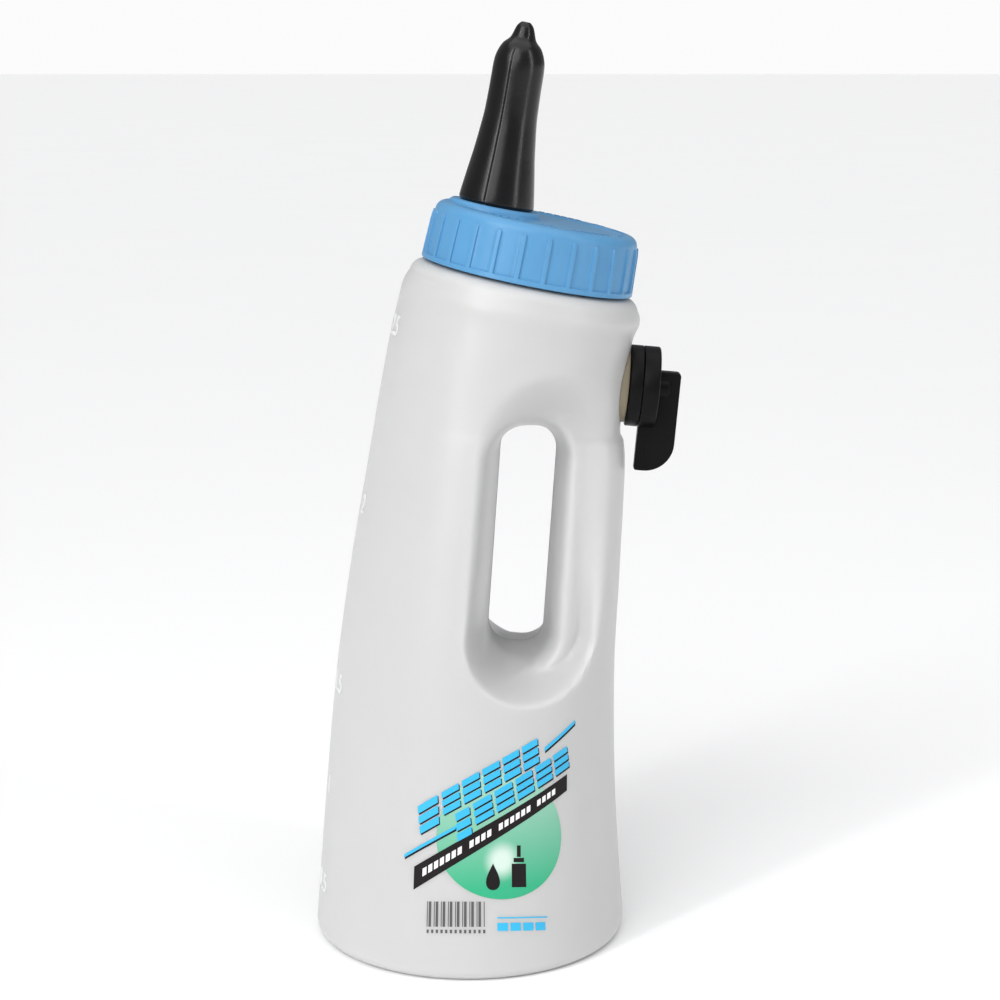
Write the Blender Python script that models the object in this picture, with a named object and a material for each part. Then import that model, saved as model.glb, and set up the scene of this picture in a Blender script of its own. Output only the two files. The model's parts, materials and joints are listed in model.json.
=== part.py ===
"""Calf feeding bottle: a bent, hollow bottle with a through handle, a ribbed screw cap with a
rubber teat, and a three-speed air valve let into the wall above the handle.

Metres, +Z up.  The part stands on its foot ring.  X runs towards the handle and the valve.
"""
import math

import bmesh
import bpy
import numpy as np
from mathutils import Matrix

# ---------------------------------------------------------------- driving dimensions
FRAME_SHIFT = -0.0109      # from the middle of the foot to the middle of the whole part, along X
GAP = 0.0003               # clearance between neighbouring pieces
WALL_GAP = 0.0006          # clearance to the bottle's curved wall
CUT_OVER = 0.002           # how far a cutter runs past what it cuts

COLUMNS = 40               # facets round the bottle
PATCH_COLUMNS = 14         # of those, the ones that the handle patch spans on one side
PATCH_ROWS = 11            # rows of the wall beside the handle patch
WALL = 0.0016              # thickness of the blown wall

FOOT_RADIUS = 0.066        # widest place of the foot
FOOT_ROUND = 0.005         # rounding under the foot
FOOT_RING_IN = 0.046       # inner edge of the flat ring that it stands on
PUSH_UP_RADIUS = 0.040     # raised middle of the bottom
PUSH_UP = 0.0035

# The two side outlines of the bottle as (x, z), paired: each pair is one slanting cross-section.
LEFT_SIDE = (
    (-0.0660, 0.0050), (-0.0616, 0.0580), (-0.0562, 0.1140), (-0.0492, 0.1630), (-0.0410, 0.2090),
    (-0.0384, 0.2240), (-0.0369, 0.2325), (-0.0319, 0.2585), (-0.0288, 0.2710), (-0.0268, 0.2788),
    (-0.0242, 0.2836),
)
RIGHT_SIDE = (
    (0.0660, 0.0050), (0.0624, 0.0580), (0.0614, 0.1120), (0.0632, 0.1550), (0.0649, 0.1970),
    (0.0645, 0.2110), (0.0630, 0.2185), (0.0655, 0.2425), (0.0677, 0.2545), (0.0705, 0.2616),
    (0.0699, 0.2658),
)
PATCH_LOW = 1.6            # place along the outlines where the handle patch begins
PATCH_HIGH = 7.0           # and where it ends
LOW_PLACES = (0.0, 0.5, 1.0, PATCH_LOW)       # cross-sections below the patch
HIGH_PLACES = (PATCH_HIGH, 8.0, 8.6, 9.2)     # and above it
ROLL_STEPS = 4             # rings in the roll round the finger hole
SPREAD_STEPS = 4           # rings from there to the patch's border

SLOT_MIDDLE = (0.0223, 0.1730)   # finger hole: centre (x, z)
SLOT_HALF = (0.0117, 0.0465)     # its half width and half height
SLOT_CORNER = 0.0095
SLOT_LEAN = math.radians(3.9)
SLOT_ROLL = 0.012                # width of the soft roll round the hole
DISH_FROM = (0.026, 0.140)       # the hollowed area round the hole follows this line
DISH_TO = (0.036, 0.215)
DISH_RADIUS = 0.028
DISH_SOFT = 0.009                # width of the dish's sloping edge at its lower end
DISH_GROWS = 0.005               # how much wider the dish is at its upper end
DISH_FADES = 0.016               # how much softer its edge is there
DISH_KEEP = 0.62                 # share of the depth that is left in the dish

NECK_FOOT = (0.024, 0.281)       # the cap's lower edge, on the neck's axis (x, z)
NECK_TILT = math.radians(11.2)
NECK_RADIUS = 0.0384
RIM_HEIGHT = 0.019
THREAD_PITCH = 0.005
THREAD_TURNS = 1.25
THREAD_WIDTH = 0.0018
THREAD_FOOT = 1.25               # the ridge's width at its foot and at its crest, as shares of it
THREAD_CREST = 0.6
THREAD_SINK = 0.0006             # how far the ridge is let into its wall
THREAD_STEPS = 32                # to one turn
NECK_THREAD_RADIUS = 0.0400
NECK_THREAD_LOW = 0.0065
SHOULDER_RINGS = (               # (radius, height) of the rings that lead into the neck
    (0.0469, -0.0044), (0.0450, -0.0028), (0.0420, -0.0018), (0.0392, -0.0012),
)

CAP_HEIGHT = 0.024
CAP_FOOT_RADIUS = 0.044
CAP_DRAFT = math.radians(3.0)
CAP_BAND = 0.0021                # plain band below the ribs
CAP_ROUND = 0.0042               # rounded shoulder of the cap
CAP_INSIDE_RADIUS = 0.0407
CAP_PLATE = 0.0027               # thickness of the cap's top
CAP_RIBS = 26
RIB_DEPTH = 0.0010
RIB_WIDTH = 0.0017
RIB_FOOT = 0.65                  # half width of a rib's foot and crest, as shares of its width
RIB_CREST = 0.30
RIB_STEP = 0.0004                # height in which the valleys fall back above the band
RIB_HEAD = 0.0012                # the ribs end this much below the shoulder
RIB_FADE = 0.0006
CAP_THREAD_RADIUS = 0.0393
CAP_THREAD_LOW = 0.0040
CAP_DISH_RADIUS = 0.033
CAP_DISH = 0.0006
COLLAR_RADIUS = 0.0192
COLLAR_HEIGHT = 0.0017
COLLAR_EDGE = 0.0006             # height of its upright foot
COLLAR_SLOPE = 0.0011            # how much it narrows above that
SEAL_OVERHANG = 0.0012           # the cap seal stands this much outside the neck

TEAT_OFFSET = 0.018              # the teat stands off the cap's axis, away from the handle
TEAT_HOLE = 0.0135
TEAT_FLANGE = 0.0180
TEAT_FLANGE_THICK = 0.0028
TEAT_LEAN = math.radians(1.7)    # natural lean against the cap's axis
TEAT_SIDE = (                    # its outside as (radius, height above the collar)
    (0.0153, 0.0), (0.0154, 0.0020), (0.0141, 0.0110), (0.0127, 0.0200), (0.0117, 0.0280),
    (0.0110, 0.0345), (0.0107, 0.0400), (0.0105, 0.0480), (0.0104, 0.0560), (0.0097, 0.0602),
    (0.0080, 0.0640), (0.0057, 0.0664), (0.0048, 0.0680), (0.0040, 0.0704), (0.0032, 0.0722),
    (0.0018, 0.0736),
)
TEAT_INSIDE = (                  # its hollow, from the slit at the tip down
    (0.0009, 0.0650), (0.0046, 0.0625), (0.0074, 0.0580), (0.0080, 0.0350), (0.0100, 0.0180),
)
TEAT_COLUMNS = 24
TEAT_MOUTH = 0.0104              # its open lower end

VALVE_CENTRE = (0.0659, 0.2356)  # middle of the valve's inner face (x, z)
VALVE_TILT = math.radians(5.0)   # its axis points outwards and this much down
VALVE_RADIUS = 0.01685
VALVE_EDGE = 0.0006
WALL_HOLE = 0.0109
DRILL_FROM = -0.012              # reach of the drills that pass through the wall
DRILL_TO = 0.006
GROMMET_RADIUS = 0.0155
GROMMET_DEPTH = 0.0060           # how far its outer disc may run back to meet the wall
GROMMET_INNER = 0.0135
GROMMET_INNER_DEPTH = 0.0072
GROMMET_NECK_DEPTH = 0.0065
STEM_RADIUS = 0.0086
STEM_BORE = 0.0074
STEM_LENGTH = 0.0112
FLANGE_THICK = 0.0052
DIAL_THICK = 0.0068
PORT_CIRCLE = 0.0060
PORT_FROM = -0.003               # the port drills start below the disc
PORT_RADII = (0.0006, 0.0010, 0.0014)
SPEED_ANGLE = math.radians(60)   # between one speed and the next
SPINDLE_RADIUS = 0.0015
SPINDLE_END = -0.0036
WAIST_LOW = -0.0026              # the clip's groove in the spindle
WAIST_HIGH = -0.0014
WAIST_DEPTH = 0.0004
WAIST_EDGE = 0.0001
SPRING_RADIUS = 0.0040
SPRING_LOW = -0.0011
SPRING_HIGH = -0.0003
CLIP_RADIUS = 0.0034
CLIP_LOW = -0.0023
CLIP_HIGH = -0.0017
CLIP_OPENING = 0.0011            # half width of the clip's gap
SEAL_CIRCLE = 0.0097
SEAL_WIRE = 0.0008
SEAL_STEPS = 28
SEAL_PRESS = 0.00005             # how far its top stays below the disc's face
GROOVE_HALF = 0.0012
GROOVE_DEPTH = 0.0018
FIN_REACH = 0.0090               # how far the lever stands out from the dial
FIN_ABOVE = 0.0070               # its upper end, above the axis
FIN_BELOW = 0.0350               # its lower end, below the axis
FIN_THICK = 0.0060
FIN_CORNER = 0.0120
FIN_TOP_CORNER = 0.0012
FIN_BEVEL = 0.0011
FIN_SINK = 0.0015                # how far it is let into the dial's face
FIN_ROOT = 0.003                 # its tail starts this much inside the dial's rim
FIN_STEPS = 6
HUB_RADIUS = 0.0046
HUB_HEIGHT = 0.0055
HUB_EDGE = 0.0008
DIAL_EDGE = 0.0003
DIAL_ROUND = 0.0015
CAGE_RADIUS = 0.0104
CAGE_INSIDE = 0.0089
CHECK_DISC_RADIUS = 0.0080
CHECK_DISC_THICK = 0.0012
CHECK_TRAVEL = 0.0012
SEAT_BORE = 0.0050
SEAT_THICK = 0.0015              # web at the stem's end that the disc shuts
DISC_EDGE = 0.0002
CAGE_FLOOR = 0.0014
CAGE_EDGE = 0.0006
CAGE_TOP = -0.0075
CAGE_OPEN = -0.0050
CAGE_HOLES = 6
CAGE_HOLE = 0.0016
CAGE_HOLE_CIRCLE = 0.0058


# ---------------------------------------------------------------- small tools
def neck_matrix(offset=0.0):
    """Neck frame: Z up the neck's axis, origin at the cap's lower edge, moved across by offset."""
    place = Matrix.Translation((NECK_FOOT[0] + FRAME_SHIFT, 0.0, NECK_FOOT[1]))
    return place @ Matrix.Rotation(NECK_TILT, 4, "Y") @ Matrix.Translation((offset, 0.0, 0.0))


def valve_matrix():
    """Valve frame: Z out along the valve's axis, X down the bottle, origin at the inner face."""
    place = Matrix.Translation((VALVE_CENTRE[0] + FRAME_SHIFT, 0.0, VALVE_CENTRE[1]))
    return place @ Matrix.Rotation(math.pi / 2 + VALVE_TILT, 4, "Y")


def finish(bm, name, matrix=None):
    """Make an object of a bmesh; its place and turn are the object's own."""
    bmesh.ops.recalc_face_normals(bm, faces=bm.faces)
    mesh = bpy.data.meshes.new(name)
    bm.to_mesh(mesh)
    bm.free()
    obj = bpy.data.objects.new(name, mesh)
    bpy.context.collection.objects.link(obj)
    if matrix is not None:
        obj.matrix_world = matrix
    mesh.shade_smooth()
    mesh.set_sharp_from_angle(angle=math.radians(35))
    return obj


def rings_to_bmesh(rings, close_first=True, close_last=True):
    """Skin a list of rings, each an (n, 3) array, with quads and flat end faces."""
    bm = bmesh.new()
    rows = [[bm.verts.new(point) for point in ring] for ring in rings]
    for low, high in zip(rows, rows[1:]):
        for i in range(len(low)):
            j = (i + 1) % len(low)
            bm.faces.new((low[i], low[j], high[j], high[i]))
    if close_first:
        bm.faces.new(reversed(rows[0]))
    if close_last:
        bm.faces.new(rows[-1])
    return bm


def ring(radius, height, columns, phase=0.0):
    """One ring of points round Z."""
    angle = phase + np.arange(columns) * 2 * math.pi / columns
    return np.column_stack(
        (radius * np.cos(angle), radius * np.sin(angle), np.full(columns, height))
    )


def turned(profile, columns, name, matrix=None):
    """A solid turned round Z from (radius, height) points that run bottom to top."""
    return finish(rings_to_bmesh([ring(r, h, columns) for r, h in profile]), name, matrix)


def turned_ring(profile, columns, name, matrix=None):
    """A ring turned round Z from a closed (radius, height) outline."""
    bm = rings_to_bmesh(
        [ring(r, h, columns) for r, h in list(profile) + [profile[0]]], False, False
    )
    bmesh.ops.remove_doubles(bm, verts=bm.verts, dist=1e-6)
    return finish(bm, name, matrix)


def box(low, high, name, matrix=None):
    """A block between two corners."""
    bm = bmesh.new()
    size = np.subtract(high, low)
    middle = np.add(high, low) / 2
    bmesh.ops.create_cube(
        bm, size=1.0, matrix=Matrix.Translation(middle) @ Matrix.Diagonal((*size, 1.0))
    )
    return finish(bm, name, matrix)


def combine(target, tool, operation):
    """Boolean with another object, applied at once; the tool is used up."""
    modifier = target.modifiers.new(operation.lower(), "BOOLEAN")
    modifier.operation = operation
    modifier.solver = "EXACT"
    modifier.object = tool
    bpy.context.view_layer.update()
    graph = bpy.context.evaluated_depsgraph_get()
    mesh = bpy.data.meshes.new_from_object(target.evaluated_get(graph))
    target.modifiers.clear()
    old = target.data
    target.data = mesh
    mesh.name = old.name
    bpy.data.meshes.remove(old)
    used = tool.data
    bpy.data.objects.remove(tool)
    bpy.data.meshes.remove(used)
    mesh.shade_smooth()
    mesh.set_sharp_from_angle(angle=math.radians(35))


def rename(obj, name):
    obj.name = name
    obj.data.name = name


def paint(obj, colour, roughness, metallic=0.0):
    """Give an object a Principled material of its own."""
    material = bpy.data.materials.new(obj.name)
    material.use_nodes = True
    shader = material.node_tree.nodes["Principled BSDF"]
    shader.inputs["Base Color"].default_value = (*colour, 1.0)
    shader.inputs["Roughness"].default_value = roughness
    shader.inputs["Metallic"].default_value = metallic
    obj.data.materials.clear()
    obj.data.materials.append(material)


MILKY = (0.80, 0.81, 0.80)
CAP_BLUE = (0.13, 0.42, 0.82)
BLACK_RUBBER = (0.012, 0.012, 0.013)
BLACK_PLASTIC = (0.016, 0.016, 0.017)
CREAM_RUBBER = (0.78, 0.66, 0.43)
CLEAR_RUBBER = (0.55, 0.56, 0.55)
STEEL = (0.62, 0.62, 0.60)


# ---------------------------------------------------------------- the bottle's surface
def along(outline, v):
    """Points of an outline at places v, on a smooth curve through its points."""
    points = np.asarray(outline)
    v = np.clip(np.asarray(v, float), 0.0, len(points) - 1.0)
    i = np.minimum(v.astype(int), len(points) - 2)
    t = (v - i)[..., None]
    p0 = points[np.maximum(i - 1, 0)]
    p1 = points[i]
    p2 = points[i + 1]
    p3 = points[np.minimum(i + 2, len(points) - 1)]
    bend = (p2 - p0) * t + (2 * p0 - 5 * p1 + 4 * p2 - p3) * t**2
    return p1 + 0.5 * (bend + (3 * p1 - 3 * p2 + p3 - p0) * t**3)


def slot_distance(x, z):
    """Distance outside the finger hole's outline, a leaning box with round corners."""
    dx = x - SLOT_MIDDLE[0]
    dz = z - SLOT_MIDDLE[1]
    across = dx * math.cos(SLOT_LEAN) - dz * math.sin(SLOT_LEAN)
    up = dx * math.sin(SLOT_LEAN) + dz * math.cos(SLOT_LEAN)
    qx = np.abs(across) - (SLOT_HALF[0] - SLOT_CORNER)
    qz = np.abs(up) - (SLOT_HALF[1] - SLOT_CORNER)
    outside = np.hypot(np.maximum(qx, 0), np.maximum(qz, 0))
    return outside + np.minimum(np.maximum(qx, qz), 0) - SLOT_CORNER


def handle_depth(x, z):
    """Share of the round section's depth that is left at (x, z): nothing at the hole's edge,
    a soft roll round it, a shallow dish about it, and all of it elsewhere."""
    near = np.clip(slot_distance(x, z) / SLOT_ROLL, 0.0, 1.0)
    roll = 1 - (1 - near) ** 4
    line = np.subtract(DISH_TO, DISH_FROM)
    t = ((x - DISH_FROM[0]) * line[0] + (z - DISH_FROM[1]) * line[1]) / (line @ line)
    t = np.clip(t, 0.0, 1.0)
    off = np.hypot(x - DISH_FROM[0] - t * line[0], z - DISH_FROM[1] - t * line[1])
    reach = DISH_RADIUS + DISH_GROWS * t - off
    inside = np.clip(reach / (DISH_SOFT + DISH_FADES * t), 0.0, 1.0)
    dished = inside**2 * (3 - 2 * inside)
    return roll * (1 - (1 - DISH_KEEP) * dished)


def wall_points(v, phi):
    """Points of the outer wall at places v along the outlines and angles phi round the section."""
    left = along(LEFT_SIDE, v)
    right = along(RIGHT_SIDE, v)
    middle = (left + right) / 2
    half = (right - left) / 2
    flat = middle + half * np.cos(phi)[..., None]
    depth = np.hypot(half[..., 0], half[..., 1]) * np.sin(phi)
    depth = depth * handle_depth(flat[..., 0], flat[..., 1])
    return np.stack((flat[..., 0], depth, flat[..., 1]), axis=-1)


def wall_place(x, z):
    """The inverse of wall_points on the front half: v by halving, phi from the section."""
    low = np.full(np.shape(x), PATCH_LOW - 1.0)
    high = np.full(np.shape(x), PATCH_HIGH + 1.0)
    for _ in range(40):
        v = (low + high) / 2
        left = along(LEFT_SIDE, v)
        right = along(RIGHT_SIDE, v)
        span = right - left
        above = span[..., 0] * (z - left[..., 1]) - span[..., 1] * (x - left[..., 0]) > 0
        low = np.where(above, v, low)
        high = np.where(above, high, v)
    middle = (left + right) / 2
    half = span / 2
    share = ((x - middle[..., 0]) * half[..., 0] + (z - middle[..., 1]) * half[..., 1])
    return v, -np.arccos(np.clip(share / (half * half).sum(-1), -1.0, 1.0))


def slot_outline(spare, ends, sides):
    """(x, z) points round the finger hole grown by spare, starting low on its left side, with
    `ends` steps round each end and `sides` steps up each long side."""
    radius = SLOT_CORNER + spare
    straight = 2 * (SLOT_HALF[0] - SLOT_CORNER)
    side = 2 * (SLOT_HALF[1] - SLOT_CORNER) - 2 * radius
    lengths = np.array([radius, radius * math.pi / 2, straight, radius * math.pi / 2, radius])
    marks = np.concatenate(([0.0], np.cumsum(lengths)))
    s = np.linspace(0.0, marks[-1], ends + 1)[:-1]
    corner_x = SLOT_HALF[0] - SLOT_CORNER
    corner_z = SLOT_HALF[1] - SLOT_CORNER
    turn_left = (s - marks[1]) / radius
    turn_right = (s - marks[3]) / radius
    x = np.select(
        (s < marks[1], s < marks[2], s < marks[3], s < marks[4]),
        (-corner_x - radius, -corner_x - radius * np.cos(turn_left),
         -corner_x + s - marks[2], corner_x + radius * np.sin(turn_right)),
        corner_x + radius,
    )
    z = np.select(
        (s < marks[1], s < marks[2], s < marks[3], s < marks[4]),
        (-corner_z + radius - s, -corner_z - radius * np.sin(turn_left),
         -corner_z - radius, -corner_z - radius * np.cos(turn_right)),
        -corner_z + s - marks[4],
    )
    rise = -corner_z + radius + side * np.arange(sides) / sides
    half_x = np.concatenate((x, np.full(sides, corner_x + radius)))
    half_z = np.concatenate((z, rise))
    across = np.concatenate((half_x, -half_x))
    up = np.concatenate((half_z, -half_z))
    cos, sin = math.cos(SLOT_LEAN), math.sin(SLOT_LEAN)
    return SLOT_MIDDLE[0] + across * cos + up * sin, SLOT_MIDDLE[1] + up * cos - across * sin


def handle_patch():
    """Rings of wall points on the front, from the finger hole's edge out to the patch's border."""
    ends, sides = PATCH_COLUMNS, PATCH_ROWS
    rings = []
    for step in range(ROLL_STEPS + 1):
        spare = SLOT_ROLL * (1 - math.cos(step / ROLL_STEPS * math.pi / 2))
        x, z = slot_outline(spare, ends, sides)
        if step == 0:
            rings.append(np.stack((x, np.zeros_like(x), z), axis=-1))
        v, phi = wall_place(x, z)
        if step:
            rings.append(wall_points(v, phi))
    width = 2 * math.pi * PATCH_COLUMNS / COLUMNS
    across = -width * (1 - np.arange(ends) / ends)
    up = PATCH_LOW + (PATCH_HIGH - PATCH_LOW) * np.arange(sides) / sides
    border_v = np.concatenate(
        (np.full(ends, PATCH_LOW), up, np.full(ends, PATCH_HIGH), PATCH_LOW + PATCH_HIGH - up)
    )
    border_phi = np.concatenate(
        (across, np.zeros(sides), -width - across, np.full(sides, -width))
    )
    for step in range(1, SPREAD_STEPS + 1):
        t = step / SPREAD_STEPS
        rings.append(wall_points(v + (border_v - v) * t, phi + (border_phi - phi) * t))
    return rings


def neck_ring(radius, height):
    """A ring on the tilted neck, in the bottle's own axes, with its seam on the handle side."""
    points = ring(radius, height, COLUMNS)
    cos, sin = math.cos(NECK_TILT), math.sin(NECK_TILT)
    x = NECK_FOOT[0] + points[:, 0] * cos + points[:, 2] * sin
    z = NECK_FOOT[1] - points[:, 0] * sin + points[:, 2] * cos
    return np.column_stack((x, points[:, 1], z))


def add_rows(bm, rows, closed):
    """Quads between rows of points, closed round or open."""
    made = [[bm.verts.new(point) for point in row] for row in rows]
    for low, high in zip(made, made[1:]):
        for i in range(len(low) if closed else len(low) - 1):
            j = (i + 1) % len(low)
            bm.faces.new((low[i], low[j], high[j], high[i]))
    return made


def bottle_surface():
    """The whole outer skin, from the middle of the bottom to the open rim."""
    bm = bmesh.new()
    turn = np.arange(COLUMNS) * 2 * math.pi / COLUMNS
    halfway = FOOT_ROUND * (1 - math.sqrt(0.5))
    foot = [
        ring(PUSH_UP_RADIUS / 2, PUSH_UP, COLUMNS),
        ring(PUSH_UP_RADIUS, PUSH_UP, COLUMNS),
        ring(FOOT_RING_IN, 0.0, COLUMNS),
        ring(FOOT_RADIUS - FOOT_ROUND, 0.0, COLUMNS),
        ring(FOOT_RADIUS - halfway, halfway, COLUMNS),
    ]
    low = [wall_points(np.full(COLUMNS, v), turn) for v in LOW_PLACES]
    made = add_rows(bm, foot + low, True)
    bm.faces.new(reversed(made[0]))
    rows = PATCH_LOW + (PATCH_HIGH - PATCH_LOW) * np.arange(PATCH_ROWS + 1) / PATCH_ROWS
    back = turn[PATCH_COLUMNS:COLUMNS - PATCH_COLUMNS + 1]
    add_rows(bm, [wall_points(np.full(len(back), v), back) for v in rows], False)
    patch = handle_patch()
    add_rows(bm, patch, True)
    add_rows(bm, [points * (1, -1, 1) for points in patch], True)
    top = len(LEFT_SIDE) - 1.0
    high = [wall_points(np.full(COLUMNS, v), turn) for v in HIGH_PLACES + (top,)]
    neck = SHOULDER_RINGS + ((NECK_RADIUS, 0.0), (NECK_RADIUS, RIM_HEIGHT))
    add_rows(bm, high + [neck_ring(r, h) for r, h in neck], True)
    bmesh.ops.remove_doubles(bm, verts=bm.verts, dist=1e-5)
    bmesh.ops.translate(bm, verts=bm.verts, vec=(FRAME_SHIFT, 0.0, 0.0))
    bmesh.ops.recalc_face_normals(bm, faces=bm.faces)
    return bm


def grown(bm, distance):
    """Move every vertex out along its normal."""
    bm.normal_update()
    moved = [vert.co + vert.normal * distance for vert in bm.verts]
    for vert, place in zip(bm.verts, moved):
        vert.co = place


def rim_edges(bm):
    return [edge for edge in bm.edges if edge.is_boundary]


def filled_bottle(distance, name):
    """The bottle as a plain solid, grown by distance and closed across the rim."""
    bm = bottle_surface()
    grown(bm, distance)
    bmesh.ops.holes_fill(bm, edges=rim_edges(bm), sides=0)
    return finish(bm, name)


def helix_thread(root, crest, low, turns, name, matrix):
    """A closed thread ridge of trapezoid section wound round Z; it sinks into its wall."""
    foot = root - math.copysign(THREAD_SINK, crest - root)
    steps = round(THREAD_STEPS * turns)
    wide = THREAD_WIDTH / 2
    section = (
        (foot, -wide * THREAD_FOOT), (crest, -wide * THREAD_CREST),
        (crest, wide * THREAD_CREST), (foot, wide * THREAD_FOOT),
    )
    rings = []
    for step in range(steps + 1):
        angle = 2 * math.pi * turns * step / steps
        lift = low + THREAD_PITCH * turns * step / steps
        rings.append(
            np.array([(r * math.cos(angle), r * math.sin(angle), lift + h) for r, h in section])
        )
    return finish(rings_to_bmesh(rings), name, matrix)


# ---------------------------------------------------------------- pieces
def make_bottle():
    """Blown shell with the open handle, the threaded neck and the round hole for the valve."""
    bm = bottle_surface()
    inner = bottle_surface()
    grown(inner, -WALL)
    bmesh.ops.reverse_faces(inner, faces=inner.faces)
    mesh = bpy.data.meshes.new("inside")
    inner.to_mesh(mesh)
    inner.free()
    bm.from_mesh(mesh)
    bpy.data.meshes.remove(mesh)
    bmesh.ops.bridge_loops(bm, edges=rim_edges(bm))
    mesh = bpy.data.meshes.new("bottle")
    bm.to_mesh(mesh)
    bm.free()
    bottle = bpy.data.objects.new("bottle", mesh)
    bpy.context.collection.objects.link(bottle)
    drill = turned(
        ((WALL_HOLE, DRILL_FROM), (WALL_HOLE, DRILL_TO)), 32, "drill", valve_matrix()
    )
    combine(bottle, drill, "DIFFERENCE")
    thread = helix_thread(
        NECK_RADIUS, NECK_THREAD_RADIUS, NECK_THREAD_LOW, THREAD_TURNS, "thread", neck_matrix()
    )
    combine(bottle, thread, "UNION")
    rename(bottle, "bottle")
    paint(bottle, MILKY, 0.38)
    return bottle


def cap_ring(height, outer, valley):
    """One ring of the cap's skirt: `outer` on the ribs and `valley` between them."""
    pitch = 2 * math.pi / CAP_RIBS
    rib = RIB_WIDTH / CAP_FOOT_RADIUS
    steps = rib * np.array((-RIB_FOOT, -RIB_CREST, RIB_CREST, RIB_FOOT))
    angle = (np.arange(CAP_RIBS)[:, None] * pitch + steps).ravel()
    radius = np.tile((valley, outer, outer, valley), CAP_RIBS)
    return np.column_stack(
        (radius * np.cos(angle), radius * np.sin(angle), np.full(len(angle), height))
    )


def make_cap():
    """Screw cap: ribbed skirt, rounded shoulder, shallow dish, collar and teat hole, thread."""
    def side(height):
        return CAP_FOOT_RADIUS - height * math.tan(CAP_DRAFT)

    shoulder = CAP_HEIGHT - CAP_ROUND
    rings = [cap_ring(0.0, side(0.0), side(0.0)), cap_ring(CAP_BAND, side(CAP_BAND), side(CAP_BAND))]
    foot = CAP_BAND + RIB_STEP
    rings.append(cap_ring(foot, side(foot), side(foot) - RIB_DEPTH))
    head = shoulder - RIB_HEAD
    rings.append(cap_ring(head, side(head), side(head) - RIB_DEPTH))
    rings.append(cap_ring(shoulder, side(shoulder) - RIB_FADE, side(shoulder) - RIB_DEPTH))
    edge = side(shoulder) - RIB_DEPTH
    for turn in (30, 60, 90):
        angle = math.radians(turn)
        radius = edge - CAP_ROUND * (1 - math.cos(angle))
        rings.append(cap_ring(shoulder + CAP_ROUND * math.sin(angle), radius, radius))
    cap = finish(rings_to_bmesh(rings), "screw_cap", neck_matrix())
    dish = turned(
        ((CAP_DISH_RADIUS, CAP_HEIGHT - CAP_DISH), (CAP_DISH_RADIUS, CAP_HEIGHT + CUT_OVER)),
        48, "dish", neck_matrix(),
    )
    combine(cap, dish, "DIFFERENCE")
    top = CAP_HEIGHT + COLLAR_HEIGHT
    collar = turned(
        ((COLLAR_RADIUS, CAP_HEIGHT - CAP_PLATE / 2), (COLLAR_RADIUS, CAP_HEIGHT + COLLAR_EDGE),
         (COLLAR_RADIUS - COLLAR_SLOPE, top)),
        36, "collar", neck_matrix(-TEAT_OFFSET),
    )
    combine(cap, collar, "UNION")
    hollow = turned(
        ((CAP_INSIDE_RADIUS, -CUT_OVER), (CAP_INSIDE_RADIUS, CAP_HEIGHT - CAP_PLATE)),
        48, "hollow", neck_matrix(),
    )
    combine(cap, hollow, "DIFFERENCE")
    hole = turned(
        ((TEAT_HOLE, CAP_HEIGHT - 2 * CAP_PLATE), (TEAT_HOLE, top + CUT_OVER)),
        32, "hole", neck_matrix(-TEAT_OFFSET),
    )
    combine(cap, hole, "DIFFERENCE")
    thread = helix_thread(
        CAP_INSIDE_RADIUS, CAP_THREAD_RADIUS, CAP_THREAD_LOW, THREAD_TURNS, "cap_thread",
        neck_matrix(),
    )
    combine(cap, thread, "UNION")
    rename(cap, "screw_cap")
    paint(cap, CAP_BLUE, 0.42)
    return cap


def make_cap_seal():
    """Flat rubber ring between the bottle's rim and the cap."""
    low = RIM_HEIGHT + GAP
    high = CAP_HEIGHT - CAP_PLATE - GAP
    seal = turned_ring(
        ((NECK_RADIUS - WALL, low), (NECK_RADIUS + SEAL_OVERHANG, low),
         (NECK_RADIUS + SEAL_OVERHANG, high), (NECK_RADIUS - WALL, high)),
        40, "cap_seal", neck_matrix(),
    )
    paint(seal, CREAM_RUBBER, 0.6)
    return seal


def make_teat():
    """Hollow rubber teat, held in the cap's hole by its groove, with a rounded nub at its tip."""
    under = CAP_HEIGHT - CAP_PLATE - GAP
    over = CAP_HEIGHT + COLLAR_HEIGHT + GAP
    neck = TEAT_HOLE - GAP
    outside = [
        (TEAT_FLANGE, under - TEAT_FLANGE_THICK), (TEAT_FLANGE, under), (neck, under), (neck, over),
    ]
    outside += [(r, over + h) for r, h in TEAT_SIDE]
    tip = outside[-1][1]
    inside = [(TEAT_INSIDE[0][0], tip)]
    inside += [(r, over + h) for r, h in TEAT_INSIDE]
    inside.append((TEAT_MOUTH, under - TEAT_FLANGE_THICK))
    rings = []
    for radius, height in outside + inside + outside[:1]:
        points = ring(radius, height, TEAT_COLUMNS)
        points[:, 0] -= max(0.0, height - over) * math.tan(TEAT_LEAN)
        rings.append(points)
    bm = rings_to_bmesh(rings, False, False)
    bmesh.ops.remove_doubles(bm, verts=bm.verts, dist=1e-6)
    teat = finish(bm, "teat", neck_matrix(-TEAT_OFFSET))
    paint(teat, BLACK_RUBBER, 0.35)
    return teat


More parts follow.
